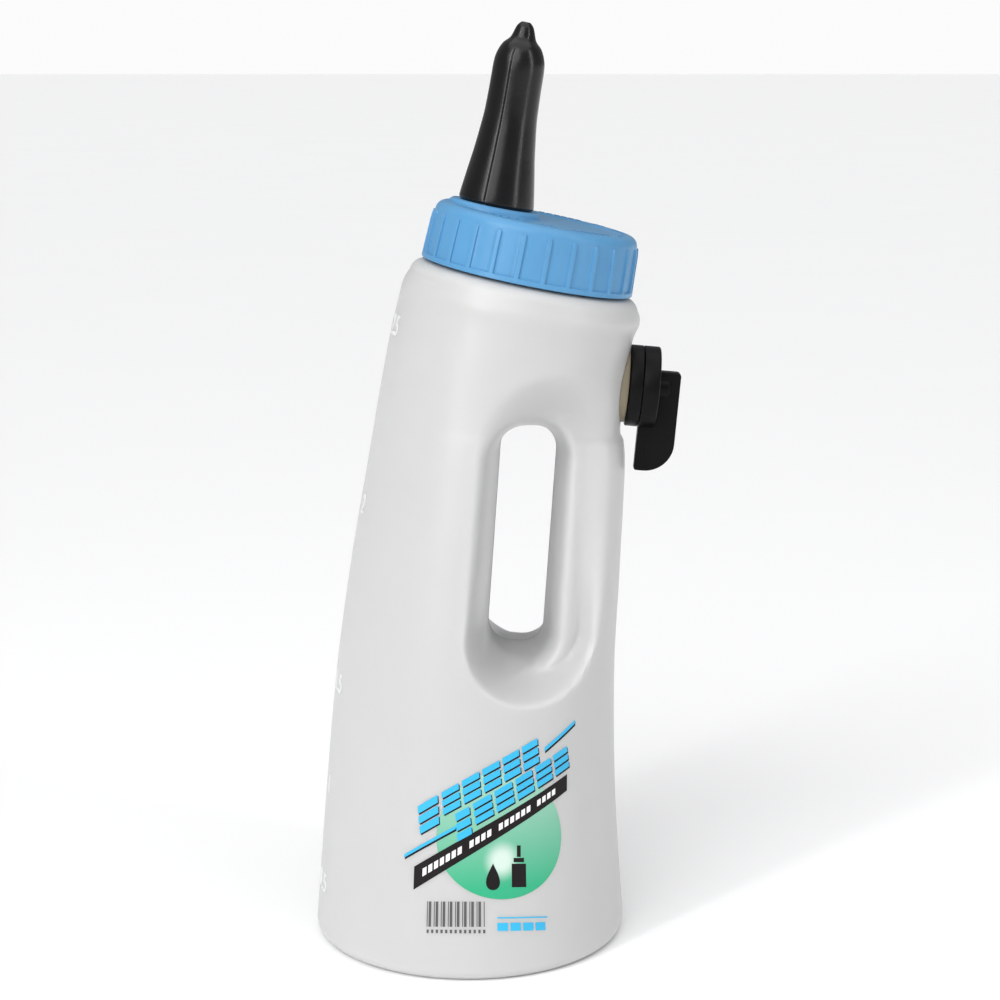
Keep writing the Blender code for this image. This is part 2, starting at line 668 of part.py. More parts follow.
def make_grommet():
    """Rubber grommet: a flat-backed disc outside the wall, a neck through it, a flange inside."""
    outer = turned(
        ((GROMMET_RADIUS, -GROMMET_DEPTH), (GROMMET_RADIUS, -GAP)), 36, "valve_grommet",
        valve_matrix(),
    )
    combine(outer, filled_bottle(WALL_GAP, "wall_outside"), "DIFFERENCE")
    inner = turned(
        ((GROMMET_INNER, -GROMMET_INNER_DEPTH), (GROMMET_INNER, 0.0)), 32, "inner_flange",
        valve_matrix(),
    )
    combine(inner, filled_bottle(-WALL - WALL_GAP, "wall_inside"), "INTERSECT")
    combine(outer, inner, "UNION")
    neck = turned(
        ((WALL_HOLE - GAP, -GROMMET_NECK_DEPTH), (WALL_HOLE - GAP, -2 * GAP)), 32, "neck",
        valve_matrix(),
    )
    combine(outer, neck, "UNION")
    bore = turned(
        ((STEM_RADIUS + GAP, DRILL_FROM), (STEM_RADIUS + GAP, DRILL_TO)), 32, "bore",
        valve_matrix(),
    )
    combine(outer, bore, "DIFFERENCE")
    rename(outer, "valve_grommet")
    paint(outer, CREAM_RUBBER, 0.55)
    return outer


def drill_hole(target, radius, x, y, low, high, sides=16):
    """A straight hole along the valve's axis at (x, y) in its frame."""
    tool = turned(
        ((radius, low), (radius, high)), sides, "tool",
        valve_matrix() @ Matrix.Translation((x, y, 0.0)),
    )
    combine(target, tool, "DIFFERENCE")


def make_valve_body():
    """Fixed disc with the three metering ports, the seal's groove, and the hollow stem."""
    over = FLANGE_THICK + CUT_OVER
    body = turned(
        ((STEM_RADIUS, -STEM_LENGTH), (STEM_RADIUS, 0.0), (VALVE_RADIUS - VALVE_EDGE, 0.0),
         (VALVE_RADIUS, VALVE_EDGE), (VALVE_RADIUS, FLANGE_THICK)),
        40, "valve_body", valve_matrix(),
    )
    drill_hole(body, STEM_BORE, 0.0, 0.0, -STEM_LENGTH + SEAT_THICK, 0.0, 32)
    drill_hole(body, SEAT_BORE, 0.0, 0.0, -STEM_LENGTH - CUT_OVER, -STEM_LENGTH + 2 * SEAT_THICK, 24)
    drill_hole(body, SPINDLE_RADIUS + GAP, 0.0, 0.0, PORT_FROM, over)
    for number, radius in enumerate(PORT_RADII):
        angle = math.pi / 2 + (number - 1) * SPEED_ANGLE
        x = PORT_CIRCLE * math.cos(angle)
        y = PORT_CIRCLE * math.sin(angle)
        drill_hole(body, radius, x, y, PORT_FROM, over, 12)
    groove = turned_ring(
        ((SEAL_CIRCLE - GROOVE_HALF, FLANGE_THICK - GROOVE_DEPTH),
         (SEAL_CIRCLE + GROOVE_HALF, FLANGE_THICK - GROOVE_DEPTH),
         (SEAL_CIRCLE + GROOVE_HALF, over), (SEAL_CIRCLE - GROOVE_HALF, over)),
        36, "groove", valve_matrix(),
    )
    combine(body, groove, "DIFFERENCE")
    rename(body, "valve_body")
    paint(body, BLACK_PLASTIC, 0.45)
    return body


def make_selector_seal():
    """Rubber ring in the valve body's groove, under the dial."""
    middle = FLANGE_THICK - SEAL_WIRE - SEAL_PRESS
    rings = []
    for step in range(SEAL_STEPS):
        angle = 2 * math.pi * step / SEAL_STEPS
        section = [
            ((SEAL_CIRCLE + SEAL_WIRE * math.cos(a)) * math.cos(angle),
             (SEAL_CIRCLE + SEAL_WIRE * math.cos(a)) * math.sin(angle),
             middle + SEAL_WIRE * math.sin(a))
            for a in np.arange(6) * math.pi / 3
        ]
        rings.append(section)
    rings.append(rings[0])
    bm = rings_to_bmesh(rings, False, False)
    bmesh.ops.remove_doubles(bm, verts=bm.verts, dist=1e-6)
    seal = finish(bm, "selector_seal", valve_matrix())
    paint(seal, BLACK_RUBBER, 0.5)
    return seal


def lever_outline():
    """Lever seen from the side, as (down, out) points in the valve's frame."""
    seam = FLANGE_THICK + 2 * GAP
    sunk = seam + DIAL_THICK - FIN_SINK
    out = seam + DIAL_THICK + FIN_REACH
    root = VALVE_RADIUS - FIN_ROOT
    points = [(-FIN_ABOVE, sunk), (root, sunk), (root, seam), (FIN_BELOW, seam)]
    for step in range(FIN_STEPS + 1):
        angle = step / FIN_STEPS * math.pi / 2
        points.append(
            (FIN_BELOW - FIN_CORNER * (1 - math.cos(angle)),
             out - FIN_CORNER * (1 - math.sin(angle)))
        )
    points += [(-FIN_ABOVE + FIN_TOP_CORNER, out), (-FIN_ABOVE, out - FIN_TOP_CORNER)]
    return points


def make_selector():
    """Turning dial with its lever, hub and spindle, and the one port that meets the others."""
    face = FLANGE_THICK + GAP
    outer = face + DIAL_THICK
    dial = turned(
        ((VALVE_RADIUS - DIAL_EDGE, face), (VALVE_RADIUS, face + DIAL_EDGE),
         (VALVE_RADIUS, outer - DIAL_ROUND),
         (VALVE_RADIUS - DIAL_ROUND * 0.3, outer - DIAL_ROUND * 0.3),
         (VALVE_RADIUS - DIAL_ROUND, outer)),
        40, "selector", valve_matrix(),
    )
    bm = bmesh.new()
    sides = []
    for y in (-FIN_THICK / 2, FIN_THICK / 2):
        sides.append([bm.verts.new((down, y, out)) for down, out in lever_outline()])
    bm.faces.new(sides[0])
    bm.faces.new(reversed(sides[1]))
    for i in range(len(sides[0])):
        j = (i + 1) % len(sides[0])
        bm.faces.new((sides[0][i], sides[0][j], sides[1][j], sides[1][i]))
    bmesh.ops.recalc_face_normals(bm, faces=bm.faces)
    long_edges = [
        edge for edge in bm.edges
        if abs(edge.verts[0].co.y - edge.verts[1].co.y) < 1e-7
        and max(vert.co.z for vert in edge.verts) > outer
    ]
    bmesh.ops.bevel(
        bm, geom=long_edges, offset=FIN_BEVEL, segments=2, profile=0.5, affect="EDGES",
        clamp_overlap=True,
    )
    lever = finish(bm, "lever", valve_matrix())
    hub = turned(
        ((HUB_RADIUS, outer - FIN_SINK), (HUB_RADIUS, outer + HUB_HEIGHT - HUB_EDGE),
         (HUB_RADIUS - HUB_EDGE, outer + HUB_HEIGHT)),
        24, "hub", valve_matrix(),
    )
    combine(dial, hub, "UNION")
    waist = SPINDLE_RADIUS - WAIST_DEPTH
    spindle = turned(
        ((waist, SPINDLE_END), (SPINDLE_RADIUS, SPINDLE_END + WAIST_DEPTH),
         (SPINDLE_RADIUS, WAIST_LOW - WAIST_EDGE), (waist, WAIST_LOW), (waist, WAIST_HIGH),
         (SPINDLE_RADIUS, WAIST_HIGH + WAIST_EDGE), (SPINDLE_RADIUS, face + FIN_SINK)),
        16, "spindle", valve_matrix(),
    )
    combine(dial, spindle, "UNION")
    drill_hole(dial, PORT_RADII[-1] + SEAL_PRESS, 0.0, PORT_CIRCLE, face - CUT_OVER, outer + CUT_OVER)
    combine(dial, lever, "UNION")
    rename(dial, "selector")
    paint(dial, BLACK_PLASTIC, 0.42)
    return dial


def make_spindle_spring():
    """Thin spring washer that draws the dial onto its seal."""
    washer = turned_ring(
        ((SPINDLE_RADIUS + GAP, SPRING_LOW), (SPRING_RADIUS, SPRING_LOW),
         (SPRING_RADIUS, SPRING_HIGH), (SPINDLE_RADIUS + GAP, SPRING_HIGH)),
        24, "spindle_spring", valve_matrix(),
    )
    paint(washer, STEEL, 0.3, 1.0)
    return washer


def make_spindle_clip():
    """Clip in the spindle's waist: a thin ring with a gap, as an E-clip has."""
    clip = turned_ring(
        ((SPINDLE_RADIUS - WAIST_EDGE, CLIP_LOW), (CLIP_RADIUS, CLIP_LOW),
         (CLIP_RADIUS, CLIP_HIGH), (SPINDLE_RADIUS - WAIST_EDGE, CLIP_HIGH)),
        24, "spindle_clip", valve_matrix(),
    )
    opening = box(
        (0.0, -CLIP_OPENING, SPINDLE_END), (SPRING_RADIUS, CLIP_OPENING, 0.0), "opening",
        valve_matrix(),
    )
    combine(clip, opening, "DIFFERENCE")
    rename(clip, "spindle_clip")
    paint(clip, STEEL, 0.3, 1.0)
    return clip


def make_check_disc():
    """Loose rubber disc that shuts the stem against milk and lets air in."""
    top = -STEM_LENGTH - GAP
    disc = turned(
        ((CHECK_DISC_RADIUS - DISC_EDGE, top - CHECK_DISC_THICK),
         (CHECK_DISC_RADIUS, top - CHECK_DISC_THICK + DISC_EDGE),
         (CHECK_DISC_RADIUS, top - DISC_EDGE), (CHECK_DISC_RADIUS - DISC_EDGE, top)),
        28, "check_disc", valve_matrix(),
    )
    paint(disc, CLEAR_RUBBER, 0.5)
    return disc


def make_check_cage():
    """Cup pushed over the end of the stem; it keeps the disc and has openings round its floor."""
    floor = -STEM_LENGTH - GAP - CHECK_DISC_THICK - CHECK_TRAVEL - 2 * GAP
    cage = turned(
        ((CAGE_RADIUS - CAGE_EDGE, floor - CAGE_FLOOR),
         (CAGE_RADIUS, floor - CAGE_FLOOR + CAGE_EDGE), (CAGE_RADIUS, CAGE_TOP)),
        32, "check_cage", valve_matrix(),
    )
    drill_hole(cage, CAGE_INSIDE, 0.0, 0.0, floor, CAGE_OPEN, 32)
    for number in range(CAGE_HOLES):
        angle = number * 2 * math.pi / CAGE_HOLES
        x = CAGE_HOLE_CIRCLE * math.cos(angle)
        y = CAGE_HOLE_CIRCLE * math.sin(angle)
        drill_hole(cage, CAGE_HOLE, x, y, floor - 2 * CAGE_FLOOR, floor + CAGE_EDGE, 10)
    rename(cage, "check_cage")
    paint(cage, BLACK_PLASTIC, 0.5)
    return cage


def main():
    for obj in list(bpy.data.objects):
        bpy.data.objects.remove(obj, do_unlink=True)
    make_bottle()
    make_cap()
    make_cap_seal()
    make_teat()
    make_grommet()
    make_valve_body()
    make_selector_seal()
    make_selector()
    make_spindle_spring()
    make_spindle_clip()
    make_check_disc()
    make_check_cage()


main()
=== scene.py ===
"""Looks of the calf feeding bottle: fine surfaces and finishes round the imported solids.

Nearly every surface is worked out on a grid of two parameters or from a profile, in whole arrays.
The valve is drawn from outside: its ports, its spindle and the seal's groove are in the solids only.
Metres, +Z up; X runs towards the handle and the air valve.
"""
import json
import math

import bmesh
import bpy
import numpy as np
from mathutils import Matrix, Vector


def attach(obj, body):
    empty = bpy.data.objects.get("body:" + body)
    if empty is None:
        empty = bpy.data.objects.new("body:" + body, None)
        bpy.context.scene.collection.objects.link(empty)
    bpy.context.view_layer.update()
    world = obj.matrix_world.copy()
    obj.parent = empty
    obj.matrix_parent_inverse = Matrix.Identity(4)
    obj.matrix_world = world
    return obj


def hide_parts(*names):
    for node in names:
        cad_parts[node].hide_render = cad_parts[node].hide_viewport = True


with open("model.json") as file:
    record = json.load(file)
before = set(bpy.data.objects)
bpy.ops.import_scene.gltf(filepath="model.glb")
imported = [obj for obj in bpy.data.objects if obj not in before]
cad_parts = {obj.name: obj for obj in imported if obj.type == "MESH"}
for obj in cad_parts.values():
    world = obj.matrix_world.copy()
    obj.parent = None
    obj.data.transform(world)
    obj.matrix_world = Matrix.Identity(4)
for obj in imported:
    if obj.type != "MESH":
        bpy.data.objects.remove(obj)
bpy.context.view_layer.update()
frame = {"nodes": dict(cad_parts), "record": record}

bl_info = {
    "name": "Calf Feeding Bottle",
    "version": (1, 0, 0),
    "blender": (4, 5, 0),
    "location": "3D View > Sidebar > Feeding Bottle",
    "description": "Milky bottle with a through handle, ribbed cap, rubber teat and air valve",
    "category": "Add Mesh",
}

# ---------------------------------------------------------------- places taken from the frame
RECORD = frame["record"]
MOUNTS = {mount["name"]: mount for mount in RECORD["mounts"]}
JOINTS = {joint["name"]: joint for joint in RECORD["behaviour"]["joints"]}
FOOT_X = MOUNTS["foot"]["pos_m"][0]
NECK = (np.array(JOINTS["cap_turn"]["pos_m"]), np.array(JOINTS["cap_turn"]["axis"]))
VALVE = (np.array(JOINTS["selector_turn"]["pos_m"]), np.array(JOINTS["selector_turn"]["axis"]))

TAU = 2 * math.pi
GAP = 0.0003               # running clearance between parts that touch or turn

# ---------------------------------------------------------------- the bottle's form
COLUMNS = 200              # facets round the bottle
PATCH_COLUMNS = 70         # of those, the ones that the handle patch spans on one side
PATCH_ROWS = 60            # rows of the wall beside the handle patch
ROLL_STEPS = 22            # rings in the soft roll round the finger hole
SPREAD_STEPS = 24          # rings from there to the patch's border
END_TAIL = 0.35            # how far an end's columns run up the long sides, as a share of its radius

FOOT_RADIUS = 0.066
FOOT_ROUND = 0.005
FOOT_RING_IN = 0.046
PUSH_UP_RADIUS = 0.040
PUSH_UP = 0.0035

# The two side outlines as (x, z), paired: each pair is one slanting cross-section.
LEFT_SIDE = (
    (-0.0660, 0.0050), (-0.0616, 0.0580), (-0.0562, 0.1140), (-0.0492, 0.1630), (-0.0410, 0.2090),
    (-0.0384, 0.2240), (-0.0369, 0.2325), (-0.0319, 0.2585), (-0.0288, 0.2710), (-0.0268, 0.2788),
    (-0.0242, 0.2836),
)
RIGHT_SIDE = (
    (0.0660, 0.0050), (0.0624, 0.0580), (0.0614, 0.1120), (0.0632, 0.1550), (0.0649, 0.1970),
    (0.0645, 0.2110), (0.0630, 0.2185), (0.0655, 0.2425), (0.0677, 0.2545), (0.0705, 0.2616),
    (0.0699, 0.2658),
)
TOP_PLACE = len(LEFT_SIDE) - 1.0
PATCH_LOW = 1.6
PATCH_HIGH = 7.0

SLOT_MIDDLE = (0.0223, 0.1730)   # finger hole
SLOT_HALF = (0.0117, 0.0465)
SLOT_CORNER = 0.0095
SLOT_LEAN = math.radians(3.9)
SLOT_ROLL = 0.012
DISH_FROM = (0.026, 0.140)       # the hollowed area round the hole
DISH_TO = (0.036, 0.215)
DISH_RADIUS = 0.028
DISH_SOFT = 0.009
DISH_GROWS = 0.005
DISH_FADES = 0.016
DISH_KEEP = 0.62

NECK_RADIUS = 0.0384
RIM_HEIGHT = 0.019
SHOULDER_RINGS = ((0.0469, -0.0040), (0.0450, -0.0021), (0.0420, -0.0010), (0.0392, -0.0006))
THREAD_PITCH = 0.005
THREAD_TURNS = 1.25
NECK_THREAD = (NECK_RADIUS, 0.0400, 0.0065)     # root, crest, lowest height
WALL_HOLE = 0.0109
GROMMET_RADIUS = 0.0155

# ---------------------------------------------------------------- cap, teat and valve
CAP_HEIGHT = 0.024
CAP_FOOT_RADIUS = 0.044
CAP_DRAFT = math.radians(3.0)
CAP_BAND = 0.0021
CAP_ROUND = 0.0042
CAP_INSIDE_RADIUS = 0.0407
CAP_PLATE = 0.0027
CAP_THREAD = (CAP_INSIDE_RADIUS, 0.0393, 0.0040)
CAP_DISH_RADIUS = 0.033
CAP_DISH = 0.0006
RIB_SOFT = 0.00028         # how wide a rib's flank is
RIB_PLACES = (             # columns over a rib, counted in half widths from its middle
    -1.30, -1.08, -0.92, -0.74, -0.40, 0.0, 0.40, 0.74, 0.92, 1.08, 1.30,
)
COLLAR_RADIUS = 0.0192
COLLAR_HEIGHT = 0.0017
TEAT_OFFSET = 0.018
TEAT_HOLE = 0.0135
TEAT_FLANGE = 0.0180
TEAT_FLANGE_THICK = 0.0028
TEAT_LEAN = math.radians(1.7)
TEAT_SIDE = (
    (0.0149, 0.0000), (0.0153, 0.0005), (0.0154, 0.0020), (0.0141, 0.0110), (0.0127, 0.0200),
    (0.0117, 0.0280), (0.0110, 0.0345), (0.0107, 0.0400), (0.0105, 0.0480), (0.0104, 0.0560),
    (0.0097, 0.0602), (0.0080, 0.0640), (0.0057, 0.0664), (0.0048, 0.0680), (0.0040, 0.0704),
    (0.0032, 0.0722), (0.0018, 0.0736), (0.0009, 0.0736),
)
TEAT_INSIDE = (
    (0.0009, 0.0650), (0.0046, 0.0625), (0.0074, 0.0580), (0.0080, 0.0350), (0.0100, 0.0180),
)
TEAT_MOUTH = 0.0104
TEAT_SEAM = math.radians(-109.6)     # the mould's parting line, and again on the other side
SEAM_SOFT = 0.00022                  # how far the line's groove reaches to each side
SEAM_TOP = 0.0655                    # where the line ends, above the collar
TEAT_STEPS = 110
HOLLOW_STEPS = 24

VALVE_RADIUS = 0.01685
STEM_RADIUS = 0.0086
STEM_BORE = 0.0074
STEM_LENGTH = 0.0112
SEAT_BORE = 0.0050
SEAT_THICK = 0.0015
FLANGE_THICK = 0.0052
DIAL_THICK = 0.0068
SPINDLE_HOLE = 0.0018
FIN_REACH = 0.0090
FIN_ABOVE = 0.0070
FIN_BELOW = 0.0350
FIN_THICK = 0.0060
FIN_CORNER = 0.0120
HUB_RADIUS = 0.0046
HUB_HEIGHT = 0.0055
BASE_PIP_OUT = 0.0026
BASE_PIP_SIZE = (0.0006, 0.0003)     # radius, height
LEVER_PIP_OUT = 0.0100
LEVER_PIP_DOWN = 0.0262
LEVER_PIP_SIZE = (0.0007, 0.0003)
LEVER_BEVEL = 0.0011


# ---------------------------------------------------------------- settings
def colour_property(name, description, default):
    """A colour that the user can change."""
    return bpy.props.FloatVectorProperty(
        name=name, description=description, default=default, size=3, min=0.0, max=1.0, subtype="COLOR"
    )


def length_property(name, description, default):
    """A length that the user can change."""
    return bpy.props.FloatProperty(
        name=name, description=description, default=default, min=0.0, unit="LENGTH", precision=5
    )


def strength_property(name, description, default):
    """A light's strength that the user can change."""
    return bpy.props.FloatProperty(name=name, description=description, default=default, min=0.0)


class FEEDER_PG_bottle(bpy.types.PropertyGroup):
    """Blown bottle and the marks moulded on it."""

    colour: colour_property("Plastic", "Milky polyethylene", (0.600, 0.612, 0.607))
    wall: length_property("Wall", "Thickness of the blown wall", 0.0016)
    seam_width: length_property("Seam width", "Width of the mould's parting line", 0.0008)
    seam_height: length_property("Seam height", "Height of the mould's parting line", 0.00012)
    mark_height: length_property("Mark height", "How far the moulded marks stand out", 0.00030)
    mark_size: length_property("Mark size", "Height of the moulded numbers", 0.0082)


class FEEDER_PG_label(bpy.types.PropertyGroup):
    """Printed label."""

    green: colour_property("Green", "Lower part of the round ground", (0.020, 0.40, 0.20))
    pale: colour_property("Pale green", "Upper part of the round ground", (0.32, 0.55, 0.45))
    blue: colour_property("Blue", "Blue ink", (0.025, 0.46, 0.78))
    dark: colour_property("Dark", "Near-black ink", (0.006, 0.004, 0.005))
    grey: colour_property("Grey", "Ink of the bar code", (0.085, 0.085, 0.085))
    white: colour_property("White", "White ink", (0.86, 0.86, 0.85))


class FEEDER_PG_cap(bpy.types.PropertyGroup):
    """Screw cap."""

    colour: colour_property("Plastic", "Blue polypropylene", (0.100, 0.300, 0.540))
    ribs: bpy.props.IntProperty(name="Ribs", description="Grip ribs round the cap", default=26, min=6)
    rib_depth: length_property("Rib depth", "How far the ribs stand out", 0.0010)
    rib_width: length_property("Rib width", "Width of one rib", 0.0020)


class FEEDER_PG_rubber(bpy.types.PropertyGroup):
    """Teat and the valve's rubber."""

    black: colour_property("Teat", "Black rubber", (0.0030, 0.0030, 0.0032))
    # painted shade: this rubber colour is darker than the real rubber, to stand in for the shade on the
    # grommet between the valve and the wall; the inner seal takes it too.
    cream: colour_property("Grommet", "Cream rubber", (0.27, 0.225, 0.155))
    clear: colour_property("Disc", "Translucent rubber", (0.52, 0.53, 0.52))
    seam_depth: length_property("Seam depth", "Depth of the teat's parting line", 0.00016)


class FEEDER_PG_valve(bpy.types.PropertyGroup):
    """Air valve."""

    colour: colour_property("Plastic", "Black plastic", (0.0025, 0.0025, 0.0027))
    steel: colour_property("Steel", "Spring steel", (0.60, 0.60, 0.59))


class FEEDER_PG_stage(bpy.types.PropertyGroup):
    """Floor, lights and camera."""

    floor: colour_property("Floor", "Pale studio floor", (0.96, 0.96, 0.96))
    key: strength_property("Key", "Main soft light", 1.40)
    overhead: strength_property("Overhead", "Soft light from above", 1.45)
    ambient: strength_property("Ambient", "Light from all round", 0.29)


# ---------------------------------------------------------------- meshes from arrays
def sheet(points, around=False, over=False, flip=False):
    """Quads over a (rows, columns, 3) grid; around joins last column to first, over last row
    to first."""
    rows, columns = points.shape[:2]
    index = np.arange(rows * columns).reshape(rows, columns)
    if around:
        index = np.hstack((index, index[:, :1]))
    if over:
        index = np.vstack((index, index[:1]))
    low, high = index[:-1], index[1:]
    faces = np.stack((low[:, :-1], low[:, 1:], high[:, 1:], high[:, :-1]), axis=-1).reshape(-1, 4)
    return points.reshape(-1, 3), faces[:, ::-1] if flip else faces


def fan(ring_points, start, flip=False):
    """The points' middle, and triangles from it to a ring whose first index is start; a
    triangle is a quad whose last two corners are the same."""
    count = len(ring_points)
    here = start + np.arange(count)
    there = start + (np.arange(count) + 1) % count
    pole = np.full(count, start + count)
    pair = (here, there) if flip else (there, here)
    return ring_points.mean(axis=0)[None], np.stack((pole, *pair, pair[1]), axis=-1)


def joined(sheets):
    """Several (points, faces) sheets as one."""
    starts = np.cumsum([0] + [len(points) for points, _ in sheets[:-1]])
    points = np.concatenate([points for points, _ in sheets])
    return points, np.concatenate([faces + start for (_, faces), start in zip(sheets, starts)])


def closed_tube(rings):
    """A sheet over closed rings, with both ends shut."""
    points, faces = sheet(rings, around=True)
    count = rings.shape[1]
    first_pole, first = fan(rings[0], 0)
    last_pole, last = fan(rings[-1], 0, flip=True)
    first = np.where(first == count, len(points), first)
    last = np.where(last == count, len(points) + 1, last + len(points) - count)
    return np.concatenate((points, first_pole, last_pole)), np.concatenate((faces, first, last))


def welded(points, faces, size=1.3e-6):
    """Points that share a place become one."""
    keys = np.round(points / size).astype(np.int64)
    _, first, inverse = np.unique(keys, axis=0, return_index=True, return_inverse=True)
    return points[first], inverse.reshape(-1)[faces]


def turned_over(faces):
    """The same faces seen from the other side."""
    triangle = faces[:, 2] == faces[:, 3]
    return np.where(triangle[:, None], faces[:, (2, 1, 0, 0)], faces[:, ::-1])


def point_normals(points, faces):
    """Unit normals at the points: the sum of the neighbouring faces' normals by area."""
    corner = points[faces]
    normal = np.cross(corner[:, 2] - corner[:, 0], corner[:, 3] - corner[:, 1])
    total = np.zeros_like(points)
    for side in range(4):
        np.add.at(total, faces[:, side], normal)
    return total / np.maximum(np.linalg.norm(total, axis=1), 1e-18)[:, None]


def walled(outer, inner, faces):
    """A closed shell: a sheet, its double on the inner points, and quads along every open edge."""
    count = len(outer)
    start = faces.ravel()
    end = np.roll(faces, -1, axis=1).ravel()
    real = start != end
    start, end = start[real], end[real]
    key = np.minimum(start, end) * count + np.maximum(start, end)
    _, where, times = np.unique(key, return_inverse=True, return_counts=True)
    edge = times[where.reshape(-1)] == 1
    start, end = start[edge], end[edge]
    rim = np.stack((end, start, start + count, end + count), axis=-1)
    return (
        np.concatenate((outer, inner)),
        np.concatenate((faces, turned_over(faces) + count, rim)),
    )


def placed(points, place):
    """Points of a local frame whose Z is the given axis, X downhill and Y the world's Y."""
    origin, up = place
    side = np.array((up[2], 0.0, -up[0]))
    middle = np.array((0.0, 1.0, 0.0))
    return origin + points[..., :1] * side + points[..., 1:2] * middle + points[..., 2:] * up


def make_piece(name, sheets, body, material, outward=True, sharp=38.0):
    """A mesh object of (points, faces) sheets, riding on a body."""
    points, faces = welded(*joined(sheets))
    keep = np.ones(faces.shape, dtype=bool)
    keep[:, 3] = faces[:, 2] != faces[:, 3]
    mesh = bpy.data.meshes.new(name)
    mesh.vertices.add(len(points))
    mesh.vertices.foreach_set("co", points.astype(np.float32).ravel())
    mesh.loops.add(int(keep.sum()))
    mesh.loops.foreach_set("vertex_index", faces[keep].astype(np.int32))
    mesh.polygons.add(len(faces))
    starts = np.concatenate(([0], np.cumsum(keep.sum(axis=1))[:-1]))
    mesh.polygons.foreach_set("loop_start", starts.astype(np.int32))
    mesh.update(calc_edges=True)
    mesh.validate()
    return finish_piece(mesh, name, body, material, outward, sharp)


def finish_piece(mesh, name, body, material, outward=True, sharp=38.0):
    """Object, normals, shading, finish and body for a mesh whose place is in its vertices."""
    if outward:
        bm = bmesh.new()
        bm.from_mesh(mesh)
        bmesh.ops.recalc_face_normals(bm, faces=bm.faces)
        bm.to_mesh(mesh)
        bm.free()
    mesh.shade_smooth()
    mesh.set_sharp_from_angle(angle=math.radians(sharp))
    piece = bpy.data.objects.new(name, mesh)
    bpy.context.collection.objects.link(piece)
    mesh.materials.append(material)
    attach(piece, body)
    return piece


# ---------------------------------------------------------------- profiles
def through(points, places):
    """Catmull-Rom curve through points or whole rings, at places counted in points."""
    points = np.asarray(points, float)
    v = np.clip(np.asarray(places, float), 0.0, len(points) - 1.0)
    i = np.minimum(v.astype(int), len(points) - 2)
    t = (v - i).reshape(v.shape + (1,) * (points.ndim - 1))
    p0 = points[np.maximum(i - 1, 0)]
    p1 = points[i]
    p2 = points[i + 1]
    p3 = points[np.minimum(i + 2, len(points) - 1)]
    bend = (p2 - p0) * t + (2 * p0 - 5 * p1 + 4 * p2 - p3) * t**2
    return p1 + 0.5 * (bend + (3 * p1 - 3 * p2 + p3 - p0) * t**3)


def smooth(t):
    """Soft step from 0 to 1 as t runs from 0 to 1."""
    t = np.clip(t, 0.0, 1.0)
    return t * t * (3 - 2 * t)


def ring(radius, height, angle):
    """A circle about Z at the given angles."""
    return np.stack(
        (radius * np.cos(angle), radius * np.sin(angle), np.broadcast_to(height, angle.shape)), axis=-1
    )


def arc(middle, radius, start, end, steps):
    """(across, up) points of an arc, angles in degrees from across towards up."""
    angle = np.radians(np.linspace(start, end, steps + 1))
    return [
        (middle[0] + radius * cos, middle[1] + radius * sin)
        for cos, sin in zip(np.cos(angle), np.sin(angle))
    ]


def revolve(profile, angle):
    """Rings of a (radius, height) profile turned about Z, as a grid."""
    radius, height = np.asarray(profile, float).T
    return ring(radius[:, None], height[:, None], np.broadcast_to(angle, (len(radius), len(angle))))


def turn_angles(columns):
    """Even angles once round, without the closing one."""
    return np.arange(columns) * TAU / columns


# ---------------------------------------------------------------- the bottle's surface
def slot_distance(x, z):
    """Distance outside the finger hole's outline, a leaning box with round corners."""
    dx = x - SLOT_MIDDLE[0]
    dz = z - SLOT_MIDDLE[1]
    across = dx * math.cos(SLOT_LEAN) - dz * math.sin(SLOT_LEAN)
    up = dx * math.sin(SLOT_LEAN) + dz * math.cos(SLOT_LEAN)
    qx = np.abs(across) - (SLOT_HALF[0] - SLOT_CORNER)
    qz = np.abs(up) - (SLOT_HALF[1] - SLOT_CORNER)
    outside = np.hypot(np.maximum(qx, 0), np.maximum(qz, 0))
    return outside + np.minimum(np.maximum(qx, qz), 0) - SLOT_CORNER


def handle_depth(x, z):
    """Share of the round section's depth left at (x, z): nothing at the hole's edge, a soft
    roll round it that rises as 1 - (1 - d)^4, a shallow dish about it, all of it elsewhere."""
    near = np.clip(slot_distance(x, z) / SLOT_ROLL, 0.0, 1.0)
    roll = 1 - (1 - near) ** 4
    line = np.subtract(DISH_TO, DISH_FROM)
    t = ((x - DISH_FROM[0]) * line[0] + (z - DISH_FROM[1]) * line[1]) / (line @ line)
    t = np.clip(t, 0.0, 1.0)
    off = np.hypot(x - DISH_FROM[0] - t * line[0], z - DISH_FROM[1] - t * line[1])
    reach = DISH_RADIUS + DISH_GROWS * t - off
    dished = smooth(reach / (DISH_SOFT + DISH_FADES * t))
    return roll * (1 - (1 - DISH_KEEP) * dished)


def wall_points(v, phi):
    """The outer wall: a slanting ellipse between the two side outlines at place v, at angle
    phi, its depth cut down by handle_depth."""
    left = through(LEFT_SIDE, v)
    right = through(RIGHT_SIDE, v)
    middle = (left + right) / 2
    half = (right - left) / 2
    flat = middle + half * np.cos(phi)[..., None]
    depth = np.hypot(half[..., 0], half[..., 1]) * np.sin(phi)
    depth = depth * handle_depth(flat[..., 0], flat[..., 1])
    return np.stack((flat[..., 0], depth, flat[..., 1]), axis=-1)


